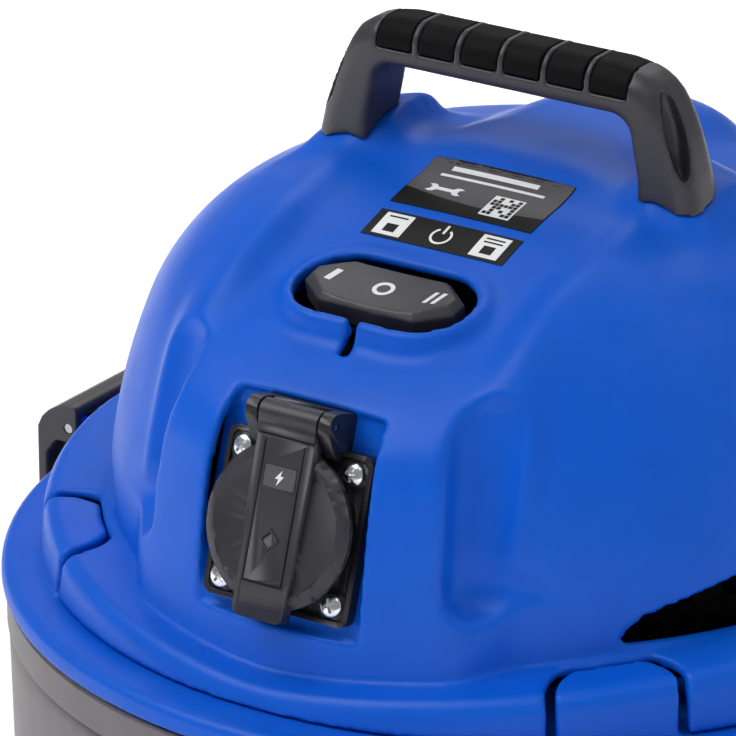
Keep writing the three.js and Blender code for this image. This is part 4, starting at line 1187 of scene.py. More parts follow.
@dataclass
class LidRing:
    """The head's lower ring with its flat shelf and four tongues."""

    radius: float = 156.9
    wall: float = 3.2
    shelf_top: float = 8.0
    shelf_thickness: float = 3.2
    inner: float = 104.0
    columns: int = 360
    dome: Dome = field(default_factory=Dome)
    deck: Deck = field(default_factory=Deck)
    tongue: Tongue = field(default_factory=Tongue)

    def ring(self) -> bpy.types.Object:
        """Spins the skirt and shelf."""
        r, top, under = self.radius, self.shelf_top, self.shelf_top - self.shelf_thickness
        return turned([
            (r - 0.6, 0.0), (r, 0.7), (r, 4.2), *arc(r - 3.2, 4.2, 3.2, 5, 85, 6), (r - 5, top - 0.3),
            (146.0, top), (self.inner, top), (self.inner, under), (r - self.wall, under),
            (r - self.wall, 0.0),
        ], 180)

    def tongue_room(self) -> bpy.types.Object:
        """Makes the block under the deck's skin that the tongues are cut from."""
        crease = self.deck.crease_radius
        outline = [
            (121.0, 7.0, 0.0), (145.0, 7.0, 0.0), (145.0, 8.3, 0.0), (143.6, -4.4, 1.0),
            (crease + 1.1, -1.6, 1.0), (crease - 1.2, -0.1, 1.0), (crease - 5, 0.15, 1.0), (121.0, 0.15, 1.0),
        ]
        room = swept(self.deck.band(self.columns, outline))
        keep_off = self.dome.skin(self.columns, 24, 3.0, 0.0, 0.0)
        return shape(room, Cut.AWAY, solid_below(keep_off))

    def ear(self, side: float) -> bpy.types.Object:
        """Makes one pivot ear of the right latch."""
        x, z = LATCH_PIVOT
        outline = [(x + 3.4, 5.6), *arc(x, z, 3.4, 0, 180, 16), (x - 3.4, 5.6)]
        low, high = (15.1, 18.5) if side > 0 else (-18.5, -15.1)
        ear = settle(plate(outline, -high, -low), about("X", 90))
        bore = settle(rod(1.7, -high - 1, -low + 1, 24), shift(x, 0, z) @ about("X", 90))
        return shape(ear, Cut.AWAY, bore)

    def build(self) -> None:
        """Makes the ring, tongues and latch ears as one moulding."""
        room = self.tongue_room()
        tongues = join(*self.tongue.blocks(0))
        shape(tongues, Cut.COMMON, room)
        piece = self.ring()
        shape(piece, Cut.ON, tongues)
        mould(piece, 1.0, 6, 0.4)
        ears = [settle(self.ear(side), about("Z", turn)) for turn in (0, 180) for side in (-1, 1)]
        join(piece, *ears)
        place_piece(piece, "lid_ring_moulding", "head", [BLUE_SHELL], ["lid_ring"])


def solid_below(grid: np.ndarray) -> bpy.types.Object:
    """Closes a skin whose rows end on the axis down to the level z = 0."""
    foot = grid[:, :1, :].copy()
    foot[:, :, 2] = -5
    middle = foot.copy()
    middle[:, :, :2] = 0
    return swept(np.concatenate([middle, foot, grid], axis=1))


@dataclass
class Socket:
    """Sizes that the tool socket and the cover's recess share, in millimetres."""

    y: float = -122.3
    z: float = 57.0
    tilt: float = 72.3
    half: float = 24.8
    plate: float = 3.0
    screw_half_pitch: float = 19.0
    well: float = 19.6
    well_depth: float = 17.5
    body: float = 21.5
    body_depth: float = 34.0
    hinge_v: float = 31.5
    hinge_n: float = 7.0

    def place(self) -> Matrix:
        """Gives the transform from the socket's own frame to the head's."""
        return shift(0, self.y, self.z) @ about("X", self.tilt)

    def hinge(self) -> Matrix:
        """Gives the transform that lays a piece built on Z along the lid's hinge."""
        return shift(0, self.hinge_v, self.hinge_n) @ about("Y", 90)

    def screw_places(self) -> list[Point]:
        """Gives the plate's four screw places, clockwise from the upper left."""
        p = self.screw_half_pitch
        return [(-p, p), (p, p), (p, -p), (-p, -p)]


@dataclass
class MotorCover:
    """The blue domed cover with all that is cut into it."""

    shell: float = 3.0
    vent_floor: float = 28.4
    vent_top: float = 50.0
    drain_half: float = 1.4
    gland_radius: float = 7.0
    gland_z: float = 40.0
    columns: int = 400
    rows: int = 110
    dome: Dome = field(default_factory=Dome)
    deck: Deck = field(default_factory=Deck)
    tongue: Tongue = field(default_factory=Tongue)
    socket: Socket = field(default_factory=Socket)

    def skin(self) -> bpy.types.Object:
        """Makes the domed shell with the deck round its foot."""
        crease, edge, seat = self.deck.crease_radius, self.deck.edge_radius, self.deck.seat
        outer = self.dome.skin(self.columns, self.rows, 0.0, self.deck, 1.2)
        inner = self.dome.skin(self.columns, 50, -self.shell, self.deck, -self.shell + 1)
        band = self.deck.band(self.columns, [
            (crease - 3, -3.0, 1.0), (edge - 3, seat, 0.0), (edge, seat, 0.0), (crease + 2.2, -4.4, 1.0),
            (crease + 0.8, -1.6, 1.0), (crease - 1.0, -0.1, 1.0), (crease - 4, 0.1, 1.0),
        ])
        return swept(np.concatenate([inner[:, ::-1], band, outer], axis=1))

    def notches(self) -> bpy.types.Object:
        """Makes the four notches for the ring's tongues, kept off the dome's wall."""
        tools = join(*self.tongue.blocks(self.tongue.gap))
        wall = solid_below(self.dome.skin(self.columns, 24, 2.8, 0.0, 0.0))
        return shape(tools, Cut.AWAY, wall)

    def recess(self) -> bpy.types.Object:
        """Makes the tapered recess round the tool socket."""
        base = plate([(-27.5, -28.5), (27.5, -28.5), (24.5, 35.5), (-24.5, 35.5)], -3.3, 30)
        for vertex in base.data.vertices:
            if vertex.co.z > 0:
                vertex.co.x *= 1.32
                vertex.co.y = vertex.co.y * 1.16 - 1
        return settle(base, self.socket.place())

    def backing(self) -> bpy.types.Object:
        """Makes the pad behind the socket's plate."""
        pad = settle(plate(rounded_box(30.5, 34, 4), -6.4, -3.3), shift(0, 3, 0))
        return settle(pad, self.socket.place())

    def vent(self, turn: float) -> bpy.types.Object:
        """Makes the arched exhaust opening of one side."""
        rise = self.vent_top - self.vent_floor
        shares = (
            (86, 0.0), (84, 0.22), (80, 0.36), (72, 0.5), (58, 0.67), (40, 0.83), (22, 0.95), (8, 0.995),
        )
        half = [(y, self.vent_floor + rise * share) for y, share in shares]
        outline = [*half, *[(-y, z) for y, z in reversed(half)]]
        return settle(settle(plate(outline, 60, 150), STANDING), about("Z", turn))

    def well(self) -> bpy.types.Object:
        """Makes the slot that the rocker sits in."""
        slot = plate(stadium(self.dome.switch_half_run, self.dome.switch_radius), -20, 20)
        return settle(slot, SwitchPanel.place())

    def build(self) -> bpy.types.Object:
        """Makes the cover as one soft-edged moulding.

        Returns:
            The cover, which the labels are laid on.
        """
        piece = self.skin()
        shape(piece, Cut.AWAY, self.notches(), self.recess())
        shape(piece, Cut.ON, self.backing())
        hole = settle(rod(self.socket.body + 0.6, -20, 5, 64), self.socket.place())
        front = self.dome.switch_y - self.dome.switch_radius
        drain = block((-self.drain_half, self.dome.switch_y - 22, 88), (self.drain_half, front + 1, 130))
        gland = settle(rod(self.gland_radius, 100, 140, 32), shift(0, 0, self.gland_z) @ about("X", -90))
        shape(piece, Cut.AWAY, hole, self.well(), drain, self.vent(0), self.vent(180), gland)
        mould(piece, 1.0, 8, 0.26)
        return place_piece(piece, "motor_cover_moulding", "head", [BLUE_SHELL], ["motor_cover"])


# ------------------------------------------------------------------ handle


@dataclass
class Handle:
    """The arched carry handle with a segmented soft grip, whose near-black pads also paint the shade of the
    deep pockets between the ribs.
    """

    y: float = -4.0
    depth: float = 20.0
    foot: float = 68.5
    top: float = 170.7
    underside: float = 156.2
    inner_foot: float = 48.0
    inner_top: float = 44.5
    outer_round: float = 7.2
    inner_round: float = 2.4
    pads: int = 6
    pad_half: float = 44.5
    pad_low: float = 161.4
    rib: float = 1.9
    slot_place: tuple[float, float, float] = (60.8, 8.2, 153.5)
    slot_size: tuple[float, float, float] = (3.3, 9.0, 14.5)
    dome: Dome = field(default_factory=Dome)

    def outline(self, inset: float) -> tuple[list[Point], list[Point]]:
        """Gives the arch's outer and inner outlines as (x, z), the outer one moved in by inset."""
        foot, top = self.foot, self.top
        outer = [
            (foot + 3.4, 110.0), (foot - 0.4, top - 48), (foot - 3, top - 37), (foot - 4.3, top - 31),
            (foot - 6, top - 25), (foot - 7.6, top - 20), (foot - 9.5, top - 15.4), (foot - 11.6, top - 11.2),
            (foot - 14.2, top - 7.3), (foot - 17, top - 4.6), (foot - 20.5, top - 2.4), (foot - 25, top - 0.9),
            (foot - 31, top),
        ]
        outer = [(x * (1 - inset / 60), 100 + (z - 100) * (1 - inset / 70)) for x, z in outer]
        corner = arc(self.inner_top - 7, self.underside - 7, 7, 90, 0, 10)
        inner = [*corner, (self.inner_foot - 1.2, 138.0), (self.inner_foot - 1, 110.0)]
        outer += [(-x, z) for x, z in reversed(outer)]
        return outer, [*[(-x, z) for x, z in reversed(inner)], *inner]

    def arch(self, inset: float) -> bpy.types.Object:
        """Makes the whole arch with a well rounded outer side, smaller by inset."""
        outer, inner = self.outline(inset)
        half = self.depth / 2 - inset
        arch = plate([*outer, *inner], -half, half)
        rounds = ((outer, self.outer_round - inset / 2, 8), (inner, self.inner_round, 4))
        for kept, offset, steps in rounds:
            places = {(round(x, 3), round(y, 3)) for x, y in kept}
            in_edit_mode(arch, "EDGE")
            bpy.ops.mesh.select_all(action="DESELECT")
            bpy.ops.object.mode_set(mode="OBJECT")
            points = arch.data.vertices
            for edge in arch.data.edges:
                ends = [points[i].co for i in edge.vertices]
                level = abs(ends[0].z - ends[1].z) < 1e-6 and abs(abs(ends[0].z) - half) < 1e-6
                edge.select = level and all((round(e.x, 3), round(e.y, 3)) in places for e in ends)
            bpy.ops.object.mode_set(mode="EDIT")
            bpy.ops.mesh.bevel(offset=offset, segments=steps, affect="EDGES", clamp_overlap=False)
            clear_selection()
        tidy_mesh(arch, 1e-3)
        return mould(settle(arch, shift(0, self.y, 0) @ about("X", 90)), 0.8, 2)

    def pad_rooms(self, gap: float) -> bpy.types.Object:
        """Makes the rooms that the pads fill, wider by gap, between the grip's ribs."""
        pitch = 2 * self.pad_half / self.pads
        rooms = []
        for i in range(self.pads):
            low = -self.pad_half + i * pitch + self.rib / 2 - gap
            high = -self.pad_half + (i + 1) * pitch - self.rib / 2 + gap
            rooms.append(block((low, self.y - 20, self.pad_low - gap), (high, self.y + 20, 190)))
        return join(*rooms)

    def slot(self, side: float, way: float) -> bpy.types.Object:
        """Makes the long lens-shaped hollow in the rounded corner of one leg."""
        lens = settle(rod(1, -1, 1, 48), about("X", 90))
        in_edit_mode(lens)
        bpy.ops.mesh.bevel(offset=0.5, segments=5, affect="EDGES")
        clear_selection()
        settle(lens, Matrix.Diagonal((*self.slot_size, 1.0)))
        x, y, z = self.slot_place
        turn = about("Y", side * -14) @ about("Z", side * way * -52)
        return settle(lens, shift(side * x, self.y + way * y, z) @ turn)

    def build(self) -> None:
        """Makes the handle and its six grip pads, whose near-black fills the pockets between the ribs with
        painted shade.
        """
        piece = self.arch(0.0)
        under = solid_below(self.dome.skin(240, 50, 0.3, 0.0, 0.0))
        shape(piece, Cut.AWAY, self.pad_rooms(0.0), self.slot(1, -1), self.slot(-1, -1), under)
        mould(piece, 0.65, 3, 0.45)
        place_piece(piece, "handle_arch", "head", [HANDLE_GREY], ["handle"])
        # The pads fill the rib pockets almost flush. Their near-black with little shine is painted shade of
        # deep pockets as well as the grip's own colour.
        pads = shape(self.pad_rooms(-0.25), Cut.COMMON, self.arch(0.15))
        mould(pads, 0.6, 3, 0.6)
        place_piece(pads, "handle_pads_and_pocket_shade", "head", [SOFT_BLACK_AND_POCKET_SHADE], ["handle_grip"])


# ------------------------------------------------------------------ rocker switch


@dataclass
class SwitchPanel:
    """The three-way rocker in its well."""

    half_length: float = 25.6
    half_width: float = 10.6
    corner_along: float = 9.5
    corner_across: float = 7.5
    border: float = 2.2
    tilt: float = Dome.switch_tilt
    y: float = Dome.switch_y
    z: float = Dome.switch_z

    @classmethod
    def place(cls) -> Matrix:
        """Gives the transform from the switch's own frame to the head's."""
        return shift(0, cls.y, cls.z) @ about("X", cls.tilt)

    def cap(self) -> bpy.types.Object:
        """Makes the cap: a long octagon with a hollowed top and a chamfered border."""
        length, width = self.half_length, self.half_width
        short, narrow = length - self.corner_along, width - self.corner_across
        plan = plate([
            (length, -narrow), (length, narrow), (short, width), (-short, width),
            (-length, narrow), (-length, -narrow), (-short, -width), (short, -width),
        ], -6.4, 2.3)
        in_edit_mode(plan)
        bpy.ops.mesh.select_all(action="DESELECT")
        bpy.ops.object.mode_set(mode="OBJECT")
        for face in plan.data.polygons:
            face.select = face.normal.z > 0.9
        bpy.ops.object.mode_set(mode="EDIT")
        bpy.ops.mesh.inset(thickness=self.border, depth=0)
        bpy.ops.object.mode_set(mode="OBJECT")
        inner = [face for face in plan.data.polygons if face.select]
        raised = {i for face in inner for i in face.vertices}
        for vertex in plan.data.vertices:
            if vertex.co.z > 0 and vertex.index not in raised:
                vertex.co.z -= 2.4
        hollow = settle(rod(150, -40, 40, 256), shift(0, 0, 151.0) @ about("X", 90))
        shape(plan, Cut.AWAY, hollow)
        return mould(plan, 0.5, 2, 0.6)

    def build(self) -> None:
        """Makes the cap and the white I, O and II on it."""
        cap = settle(self.cap(), self.place())
        decal = Decal(surface_of(cap), self.place(), MARK_WHITE)
        marks = [
            decal.patch(slant([(-18.2, -3.0), (-16.2, -3.0), (-16.2, 3.0), (-18.2, 3.0)]), "mark_one"),
            decal.ring((0, 0), 3.4, 2.1, "mark_off"),
            decal.patch(slant([(15.6, -3.0), (17.0, -3.0), (17.0, 3.0), (15.6, 3.0)]), "mark_two_first"),
            decal.patch(slant([(18.4, -3.0), (19.8, -3.0), (19.8, 3.0), (18.4, 3.0)]), "mark_two_second"),
        ]
        place_piece(cap, "rocker_key", "rocker", [HANDLE_GREY], ["rocker_cap"])
        for mark in marks:
            place_piece(mark, mark.name, "rocker", [decal.finish], [])


def slant(outline: Sequence[Point]) -> list[Point]:
    """Leans an outline a little, as the switch's figures lean."""
    return [(x + 0.18 * y, y) for x, y in outline]


def surface_of(piece: bpy.types.Object) -> BVHTree:
    """Gives a piece's surface for laying things on."""
    vertices = [v.co.copy() for v in piece.data.vertices]
    return BVHTree.FromPolygons(vertices, [tuple(p.vertices) for p in piece.data.polygons])


@dataclass
class Decal:
    """Lays thin printed shapes on a surface, looking down the Z axis of a frame."""

    surface: BVHTree
    frame: Matrix
    finish: Finish
    thickness: float = 0.08
    lift: float = 0.02
    step: float = 1.2

    def patch(self, outline: Sequence[Point], name: str, lift: float | None = None) -> bpy.types.Object:
        """Lays a filled outline.

        Args:
            outline: Its points in the frame.
            name: The piece's name.
            lift: How far above the surface it lies, or None for the usual.

        Returns:
            The thin piece.
        """
        piece = ring_of_points([(x, y, 0) for x, y in outline], True)
        piece.name = name
        self.split(piece, outline)
        return self.lay(piece, self.lift if lift is None else lift)

    def split(self, piece: bpy.types.Object, outline: Sequence[Point]) -> None:
        """Cuts a flat piece along a grid, so that it can bend."""
        for axis in (0, 1):
            values = [p[axis] for p in outline]
            count = int((max(values) - min(values)) / self.step)
            for i in range(1, count + 1):
                where = [0.0, 0.0, 0.0]
                where[axis] = min(values) + (max(values) - min(values)) * i / (count + 1)
                normal = [0.0, 0.0, 0.0]
                normal[axis] = 1.0
                in_edit_mode(piece)
                bpy.ops.mesh.bisect(plane_co=where, plane_no=normal)
        clear_selection()

    def ring(
        self, centre: Point, outer: float, inner: float, name: str, gap: float = 0.0,
    ) -> bpy.types.Object:
        """Lays a ring, left open round the top by gap degrees."""
        first, last = 90 + gap / 2, 450 - gap / 2
        steps = 48
        rim = arc(*centre, outer, first, last, steps)
        hole = arc(*centre, inner, last, first, steps)
        piece = ring_of_points([(x, y, 0) for x, y in [*rim, *hole]], gap > 0)
        if gap == 0:
            bpy.data.objects.remove(piece)
            clear_selection()
            bpy.ops.mesh.primitive_circle_add(vertices=steps, radius=inner, location=(*centre, 0))
            piece = settle(bpy.context.object)
            in_edit_mode(piece, "EDGE")
            bpy.ops.mesh.extrude_region_move()
            bpy.ops.transform.resize(value=(outer / inner, outer / inner, 1), center_override=(*centre, 0))
            clear_selection()
        piece.name = name
        self.split(piece, [(centre[0] - outer, centre[1] - outer), (centre[0] + outer, centre[1] + outer)])
        return self.lay(piece, self.lift)

    def lay(self, piece: bpy.types.Object, lift: float) -> bpy.types.Object:
        """Drops a flat piece's points onto the surface and gives it its thickness."""
        down = -(self.frame.to_3x3() @ Vector((0, 0, 1)))
        for vertex in piece.data.vertices:
            start = self.frame @ Vector((vertex.co.x, vertex.co.y, 300))
            hit = self.surface.ray_cast(start, down)[0]
            vertex.co = (hit or self.frame @ vertex.co) - down * lift
        take(piece)
        in_edit_mode(piece)
        bpy.ops.mesh.normals_make_consistent(inside=False)
        clear_selection()
        total = sum((face.normal * face.area for face in piece.data.polygons), Vector())
        if total.dot(down) > 0:
            piece.data.flip_normals()
        wall = piece.modifiers.new("print", "SOLIDIFY")
        wall.thickness = self.thickness
        wall.offset = 1.0
        apply_modifiers(piece)
        return shade(piece)


# ------------------------------------------------------------------ labels


@dataclass
class Labels:
    """The two printed labels between the handle and the switch, with generic marks only."""

    half_width: float = 24.5
    service_y: float = -22.0
    service_half: float = 12.3
    switch_y: float = -44.0
    switch_half: float = 5.75

    def bar(self, x: float, y: float, width: float, height: float) -> list[Point]:
        """Gives a small rectangle about a point."""
        return [
            (x - width / 2, y - height / 2), (x + width / 2, y - height / 2),
            (x + width / 2, y + height / 2), (x - width / 2, y + height / 2),
        ]

    def spanner(self, x: float, y: float) -> list[Point]:
        """Gives the outline of an open-ended spanner."""
        jaw = [
            (1.2, 0.75), (2.0, 1.75), (3.3, 2.05), (4.6, 1.6), (3.3, 0.75), (3.3, -0.75),
            (4.6, -1.6), (3.3, -2.05), (2.0, -1.75), (1.2, -0.75),
        ]
        right = [(x + 1.4 + px, y + py) for px, py in jaw]
        left = [(x - 1.4 - px, y - py) for px, py in jaw]
        return [*right, *left]

    def sheet_outline(self, y: float, half: float) -> list[Point]:
        """Gives a label's rectangle about the middle plane."""
        w = self.half_width
        return [(-w, y - half), (w, y - half), (w, y + half), (-w, y + half)]

    def stick(self, decal: Decal, piece: bpy.types.Object, *nodes: str) -> None:
        """Fastens a printed piece to the head under the name that it was laid with."""
        place_piece(piece, piece.name, "head", [decal.finish], nodes)

    def build(self, surface: bpy.types.Object) -> None:
        """Lays both labels.

        Args:
            surface: A copy of the cover in the head's frame, in millimetres.
        """
        tree = surface_of(surface)
        upright = Matrix.Identity(4)
        sheet = Decal(tree, upright, LABEL_BLACK, 0.22, 0.05)
        grey = Decal(tree, upright, LABEL_GREY, 0.05, 0.24)
        white = Decal(tree, upright, LABEL_WHITE, 0.1, 0.28)
        ink = Decal(tree, upright, LABEL_BLACK, 0.05, 0.39)
        self.service_label(sheet, grey, white, ink)
        self.switch_label(sheet, white, ink)

    def service_label(self, sheet: Decal, grey: Decal, white: Decal, ink: Decal) -> None:
        """Lays the upper label: a grey band, two bars, a spanner and a square of blocks."""
        w, y, h = self.half_width, self.service_y, self.service_half
        piece = sheet.patch(self.sheet_outline(y, h), "label_service_sheet")
        self.stick(sheet, piece, "label_service")
        curve = [
            (x, y - 3.4 - 3.6 * math.cos(math.pi * (x - 4) / 60)) for x in np.linspace(-w + 0.2, w - 0.2, 24)
        ]
        corners = [(w - 0.2, y + h - 0.2), (-w + 0.2, y + h - 0.2)]
        self.stick(grey, grey.patch([*curve, *corners], "label_service_band"))
        for outline, name in (
            (self.bar(-1, y + 8.6, 30, 1.8), "label_bar_1"), (self.bar(0, y + 5.2, 36, 1.1), "label_bar_2"),
            (self.spanner(-12.0, y - 2.0), "label_spanner"),
        ):
            self.stick(white, white.patch(outline, name))
        self.chequer(white, ink, 9.6, y - 4.4)

    def switch_label(self, sheet: Decal, white: Decal, ink: Decal) -> None:
        """Lays the lower label: a power sign between two cards with plain lines."""
        y = self.switch_y
        piece = sheet.patch(self.sheet_outline(y, self.switch_half), "label_switch_sheet")
        self.stick(sheet, piece, "label_switch")
        for number, side in enumerate((-1, 1), 1):
            x = side * 16.8
            self.stick(white, white.patch(self.bar(x, y, 9.6, 9.4), f"label_card_{number}"))
            lines = [self.bar(x, y + 3.2, 6.4, 0.6), self.bar(x, y - 1.6, 4.0, 3.4)]
            if side > 0:
                lines.insert(1, self.bar(x, y + 1.7, 6.4, 0.6))
            for row, outline in enumerate(lines, 1):
                self.stick(ink, ink.patch(outline, f"label_ink_{number}_{row}"))
        self.stick(white, white.ring((0, y - 0.3), 3.5, 2.75, "label_power_ring", 70))
        self.stick(white, white.patch(self.bar(0, y + 2.6, 0.8, 3.6), "label_power_stroke"))

    def chequer(self, white: Decal, ink: Decal, x: float, y: float) -> None:
        """Lays a white square with a plain pattern of small dark blocks."""
        self.stick(white, white.patch(self.bar(x, y, 10.4, 10.4), "label_card_service"))
        blocks = []
        for i in range(6):
            for j in range(6):
                if (i * 5 + j * 3 + i * j) % 4 < 2:
                    spot = self.bar(x - 3.9 + i * 1.56, y - 3.9 + j * 1.56, 1.3, 1.3)
                    blocks.append(ink.patch(spot, "block"))
        place_piece(join(*blocks), "label_blocks", "head", [ink.finish], [])


# ------------------------------------------------------------------ tool socket


@dataclass
class ToolSocket:
    """The power-tool socket: a plate with a hood, four screws, and a sprung lid."""

    size: Socket = field(default_factory=Socket)
    lid_radius: float = 24.2
    lid_low: float = 4.0
    lid_high: float = 8.2
    strap_half: float = 9.8
    tab_half: float = 8.5

    def plate(self) -> bpy.types.Object:
        """Makes the square plate with a raised border, the socket's body and the lid's seat."""
        s = self.size
        piece = plate(rounded_box(s.half, s.half, 3.4, 10), -s.plate, 0.9)
        dish = plate(rounded_box(s.half - 1.5, s.half - 1.5, 2.4, 10), 0, 5)
        shape(piece, Cut.AWAY, dish)
        barrel = rod(s.body, -s.body_depth, 0.4, 96)
        seat = rod(s.body + 1, -1, 3.4, 96)
        shape(piece, Cut.ON, barrel, seat)
        for x, y in s.screw_places():
            shape(piece, Cut.ON, rod(4.6, -1, 0.5, 40, x, y))
        return piece

    def hood(self) -> bpy.types.Object:
        """Makes the hinge's hood with two rounded cheeks."""
        s = self.size
        cheek = [
            (s.half - 3, -s.plate), (s.hinge_v + 4.1, -s.plate), (s.hinge_v + 4.1, 6.5),
            *arc(s.hinge_v, s.hinge_n, 4.0, 0, 120, 10), (s.half - 2.5, 5.0),
        ]
        pair = []
        for side in (-1, 1):
            low, high = (10.6, 14.4) if side > 0 else (-14.4, -10.6)
            pair.append(settle(plate(cheek, low, high), STANDING))
        back = block((-14.4, s.half - 3, -s.plate), (14.4, s.hinge_v + 4.1, 3.0))
        return shape(pair[0], Cut.ON, pair[1], back)

    def build(self) -> None:
        """Makes the plate, screws and lid."""
        s = self.size
        piece = self.plate()
        shape(piece, Cut.ON, self.hood())
        well = rod(s.well, -s.well_depth, 12, 96)
        bays = [rod(2.6, -s.body_depth + 4, 0, 24, x) for x in (-9.5, 9.5)]
        low = -s.well_depth - 0.01
        clips = [block((-2.6, y - 1.2, low), (2.6, y + 1.2, 4)) for y in (-s.well, s.well)]
        holes = [rod(1.7, -6, 1, 20, x, y) for x, y in s.screw_places()]
        bore = settle(rod(1.3, -20, 20, 24), s.hinge())
        room = settle(rod(4.2, -10.5, 10.5, 48), s.hinge())
        shape(piece, Cut.AWAY, well, *bays, *clips, *holes, bore, room)
        place = TO_HEAD @ s.place()
        round_edges(piece, 0.45, 2, 40)
        place_piece(piece, "socket_plate", "head", [GLOSS_BLACK], ["socket_flange"], place)
        for number, (x, y) in enumerate(s.screw_places(), 1):
            screw = join(pan_head_screw(3.5, 2.0), rod(1.45, -7.0, -0.3, 24))
            settle(screw, shift(x, y, 0.75) @ about("Z", 31 * number))
            place_piece(screw, f"socket_fixing_{number}", "head", [CHROME], [f"socket_screw_{number}"], place)
        self.lid(place)

    def lid(self, place: Matrix) -> None:
        """Makes the lid: a disc with a bevelled rim, a strap with two grooves, and a pull tab."""
        s, low, high = self.size, self.lid_low, self.lid_high
        r = self.lid_radius
        disc = turned([
            (0.0, low), (r - 0.8, low), (r, low + 0.8), (r, high - 1.9), (r - 1.9, high - 0.3),
            (r - 3.4, high), (r - 4.2, high - 0.55), (0.0, high - 0.55),
        ], 128)
        end, half = -r - 3.0, self.tab_half
        tab = [
            *arc(half - 2.2, end + 2.4, 2.2, -90, 0, 6), (half + 0.5, -14.0),
            (self.strap_half, s.hinge_v - 3), (-self.strap_half, s.hinge_v - 3), (-half - 0.5, -14.0),
            *arc(-half + 2.2, end + 2.4, 2.2, 180, 270, 6),
        ]
        strap = plate(tab, low + 1, high + 1.3)
        for side in (-1, 1):
            groove = block((side * 6.6 - 0.35, -16.5, high + 0.6), (side * 6.6 + 0.35, 24, high + 3))
            shape(strap, Cut.AWAY, groove)
        shape(strap, Cut.AWAY, block((-6.95, -17.0, high + 0.6), (6.95, -16.3, high + 3)))
        shape(strap, Cut.AWAY, block((-5.6, 10.5, high + 1.05), (5.6, 17.5, high + 3)))
        knuckle = settle(rod(3.9, -self.strap_half, self.strap_half, 48), s.hinge())
        link = block(
            (-self.strap_half, s.hinge_v - 5.5, s.hinge_n - 1),
            (self.strap_half, s.hinge_v, s.hinge_n + 3.4),
        )
        piece = shape(disc, Cut.ON, strap, knuckle, link)
        bay = block((-4, s.hinge_v - 3.0, s.hinge_n - 5), (4, s.hinge_v + 2.8, s.hinge_n + 2.6))
        bore = settle(rod(1.3, -20, 20, 24), s.hinge())
        shape(piece, Cut.AWAY, bay, bore)
        emboss = [(0.0, 3.4), (3.4, 0.0), (0.0, -3.4), (-3.4, 0.0)]
        mark = settle(plate(emboss, high + 1.2, high + 1.75), shift(0, -4, 0))
        inner = plate([(x * 0.72, y * 0.72) for x, y in emboss], high + 1.3, high + 3)
        settle(inner, shift(0, -4, 0))
        shape(piece, Cut.ON, shape(mark, Cut.AWAY, inner))
        round_edges(piece, 0.32, 2, 40)
        place_piece(piece, "socket_cap", "socket_cover", [LID_GREY], ["socket_lid"], place)
        patch = plate([(x, y + 14) for x, y in rounded_box(5.3, 3.2, 0.6)], high + 1.06, high + 1.28)
        round_edges(patch, 0.08, 1)
        place_piece(patch, "socket_rating_patch", "socket_cover", [LABEL_GREY], [], place)
        bolt = [(0.6, 2.2), (-1.5, -0.4), (-0.3, -0.4), (-0.8, -2.4), (1.4, 0.5), (0.2, 0.5)]
        sign = plate([(x, y + 14) for x, y in bolt], high + 1.29, high + 1.36)
        place_piece(sign, "socket_bolt_sign", "socket_cover", [LABEL_WHITE], [], place)


# ------------------------------------------------------------------ latches


@dataclass
class Latch:
    """A side latch that hooks under the tank's ledge."""

    half_width: float = 22.4
    cheek: float = 3.0
    outer: float = 165.7
    inner: float = 161.8

    def lay(self, piece: bpy.types.Object) -> bpy.types.Object:
        """Turns a plate made in X and Y so that it stands in X and Z."""
        return settle(piece, about("X", 90))

    def build(self) -> None:
        """Makes the latch, with a finger lip and a row of grip ridges, and copies it to the other side."""
        o, i, w = self.outer, self.inner, self.half_width
        outline = [
            (149.9, 11.6), (149.9, 22.4), (150.6, 23.8), (152, 24.4), (157.5, 23.2), (161.5, 21.0),
            (o - 1.6, 18.4), (o - 0.3, 15.2), (o - 0.6, -20), (o + 0.8, -27), (o + 2.3, -30.8),
            (o - 1.2, -31.6), (i, -20), (i, 7), (158.2, 11.6),
        ]
        body = self.lay(plate(outline, -w, w))
        hollow = [(140, 5), (140, 20.6), (156.6, 20.4), (i + 0.6, 17.2), (i, 14), (i, 5)]
        shape(body, Cut.AWAY, self.lay(plate(hollow, -w + self.cheek, w - self.cheek)))
        mould(body, 0.7, 3, 0.6)
        hook_outline = [(i + 1, -18.2), (i + 1, -12), (i - 0.5, -12.7), (156.9, -13.2), (156.9, -17)]
        hook = self.lay(plate(hook_outline, -13, 13))
        ridges = []
        for height in (-10, -14, -18, -22):
            bar = block((o - 1.2, -w + 6, height - 0.7), (o + 0.25, w - 6, height + 0.7), 0.35)
            ridges.append(bar)
        hinge = shift(LATCH_PIVOT[0], 0, LATCH_PIVOT[1]) @ about("X", 90)
        bore = settle(rod(1.7, -30, 30, 32), hinge)
        shape(body, Cut.ON, hook, *ridges)
        shape(body, Cut.AWAY, bore)
        shade(body, 40)
        pin = shade(settle(rod(1.5, -w + 0.4, w - 0.4, 32), hinge))
        for turn, side in ((0, "right"), (180, "left")):
            place = TO_HEAD @ about("Z", turn)
            latch = f"latch_{side}"
            place_piece(copy_of(body), f"latch_clip_{side}", latch, [DARK_GREY], [latch], place)
            place_piece(copy_of(pin), f"latch_axle_{side}", "head", [STEEL], [f"latch_pin_{side}"], place)
        bpy.data.objects.remove(body)
        bpy.data.objects.remove(pin)


# ------------------------------------------------------------------ pieces kept from the CAD model

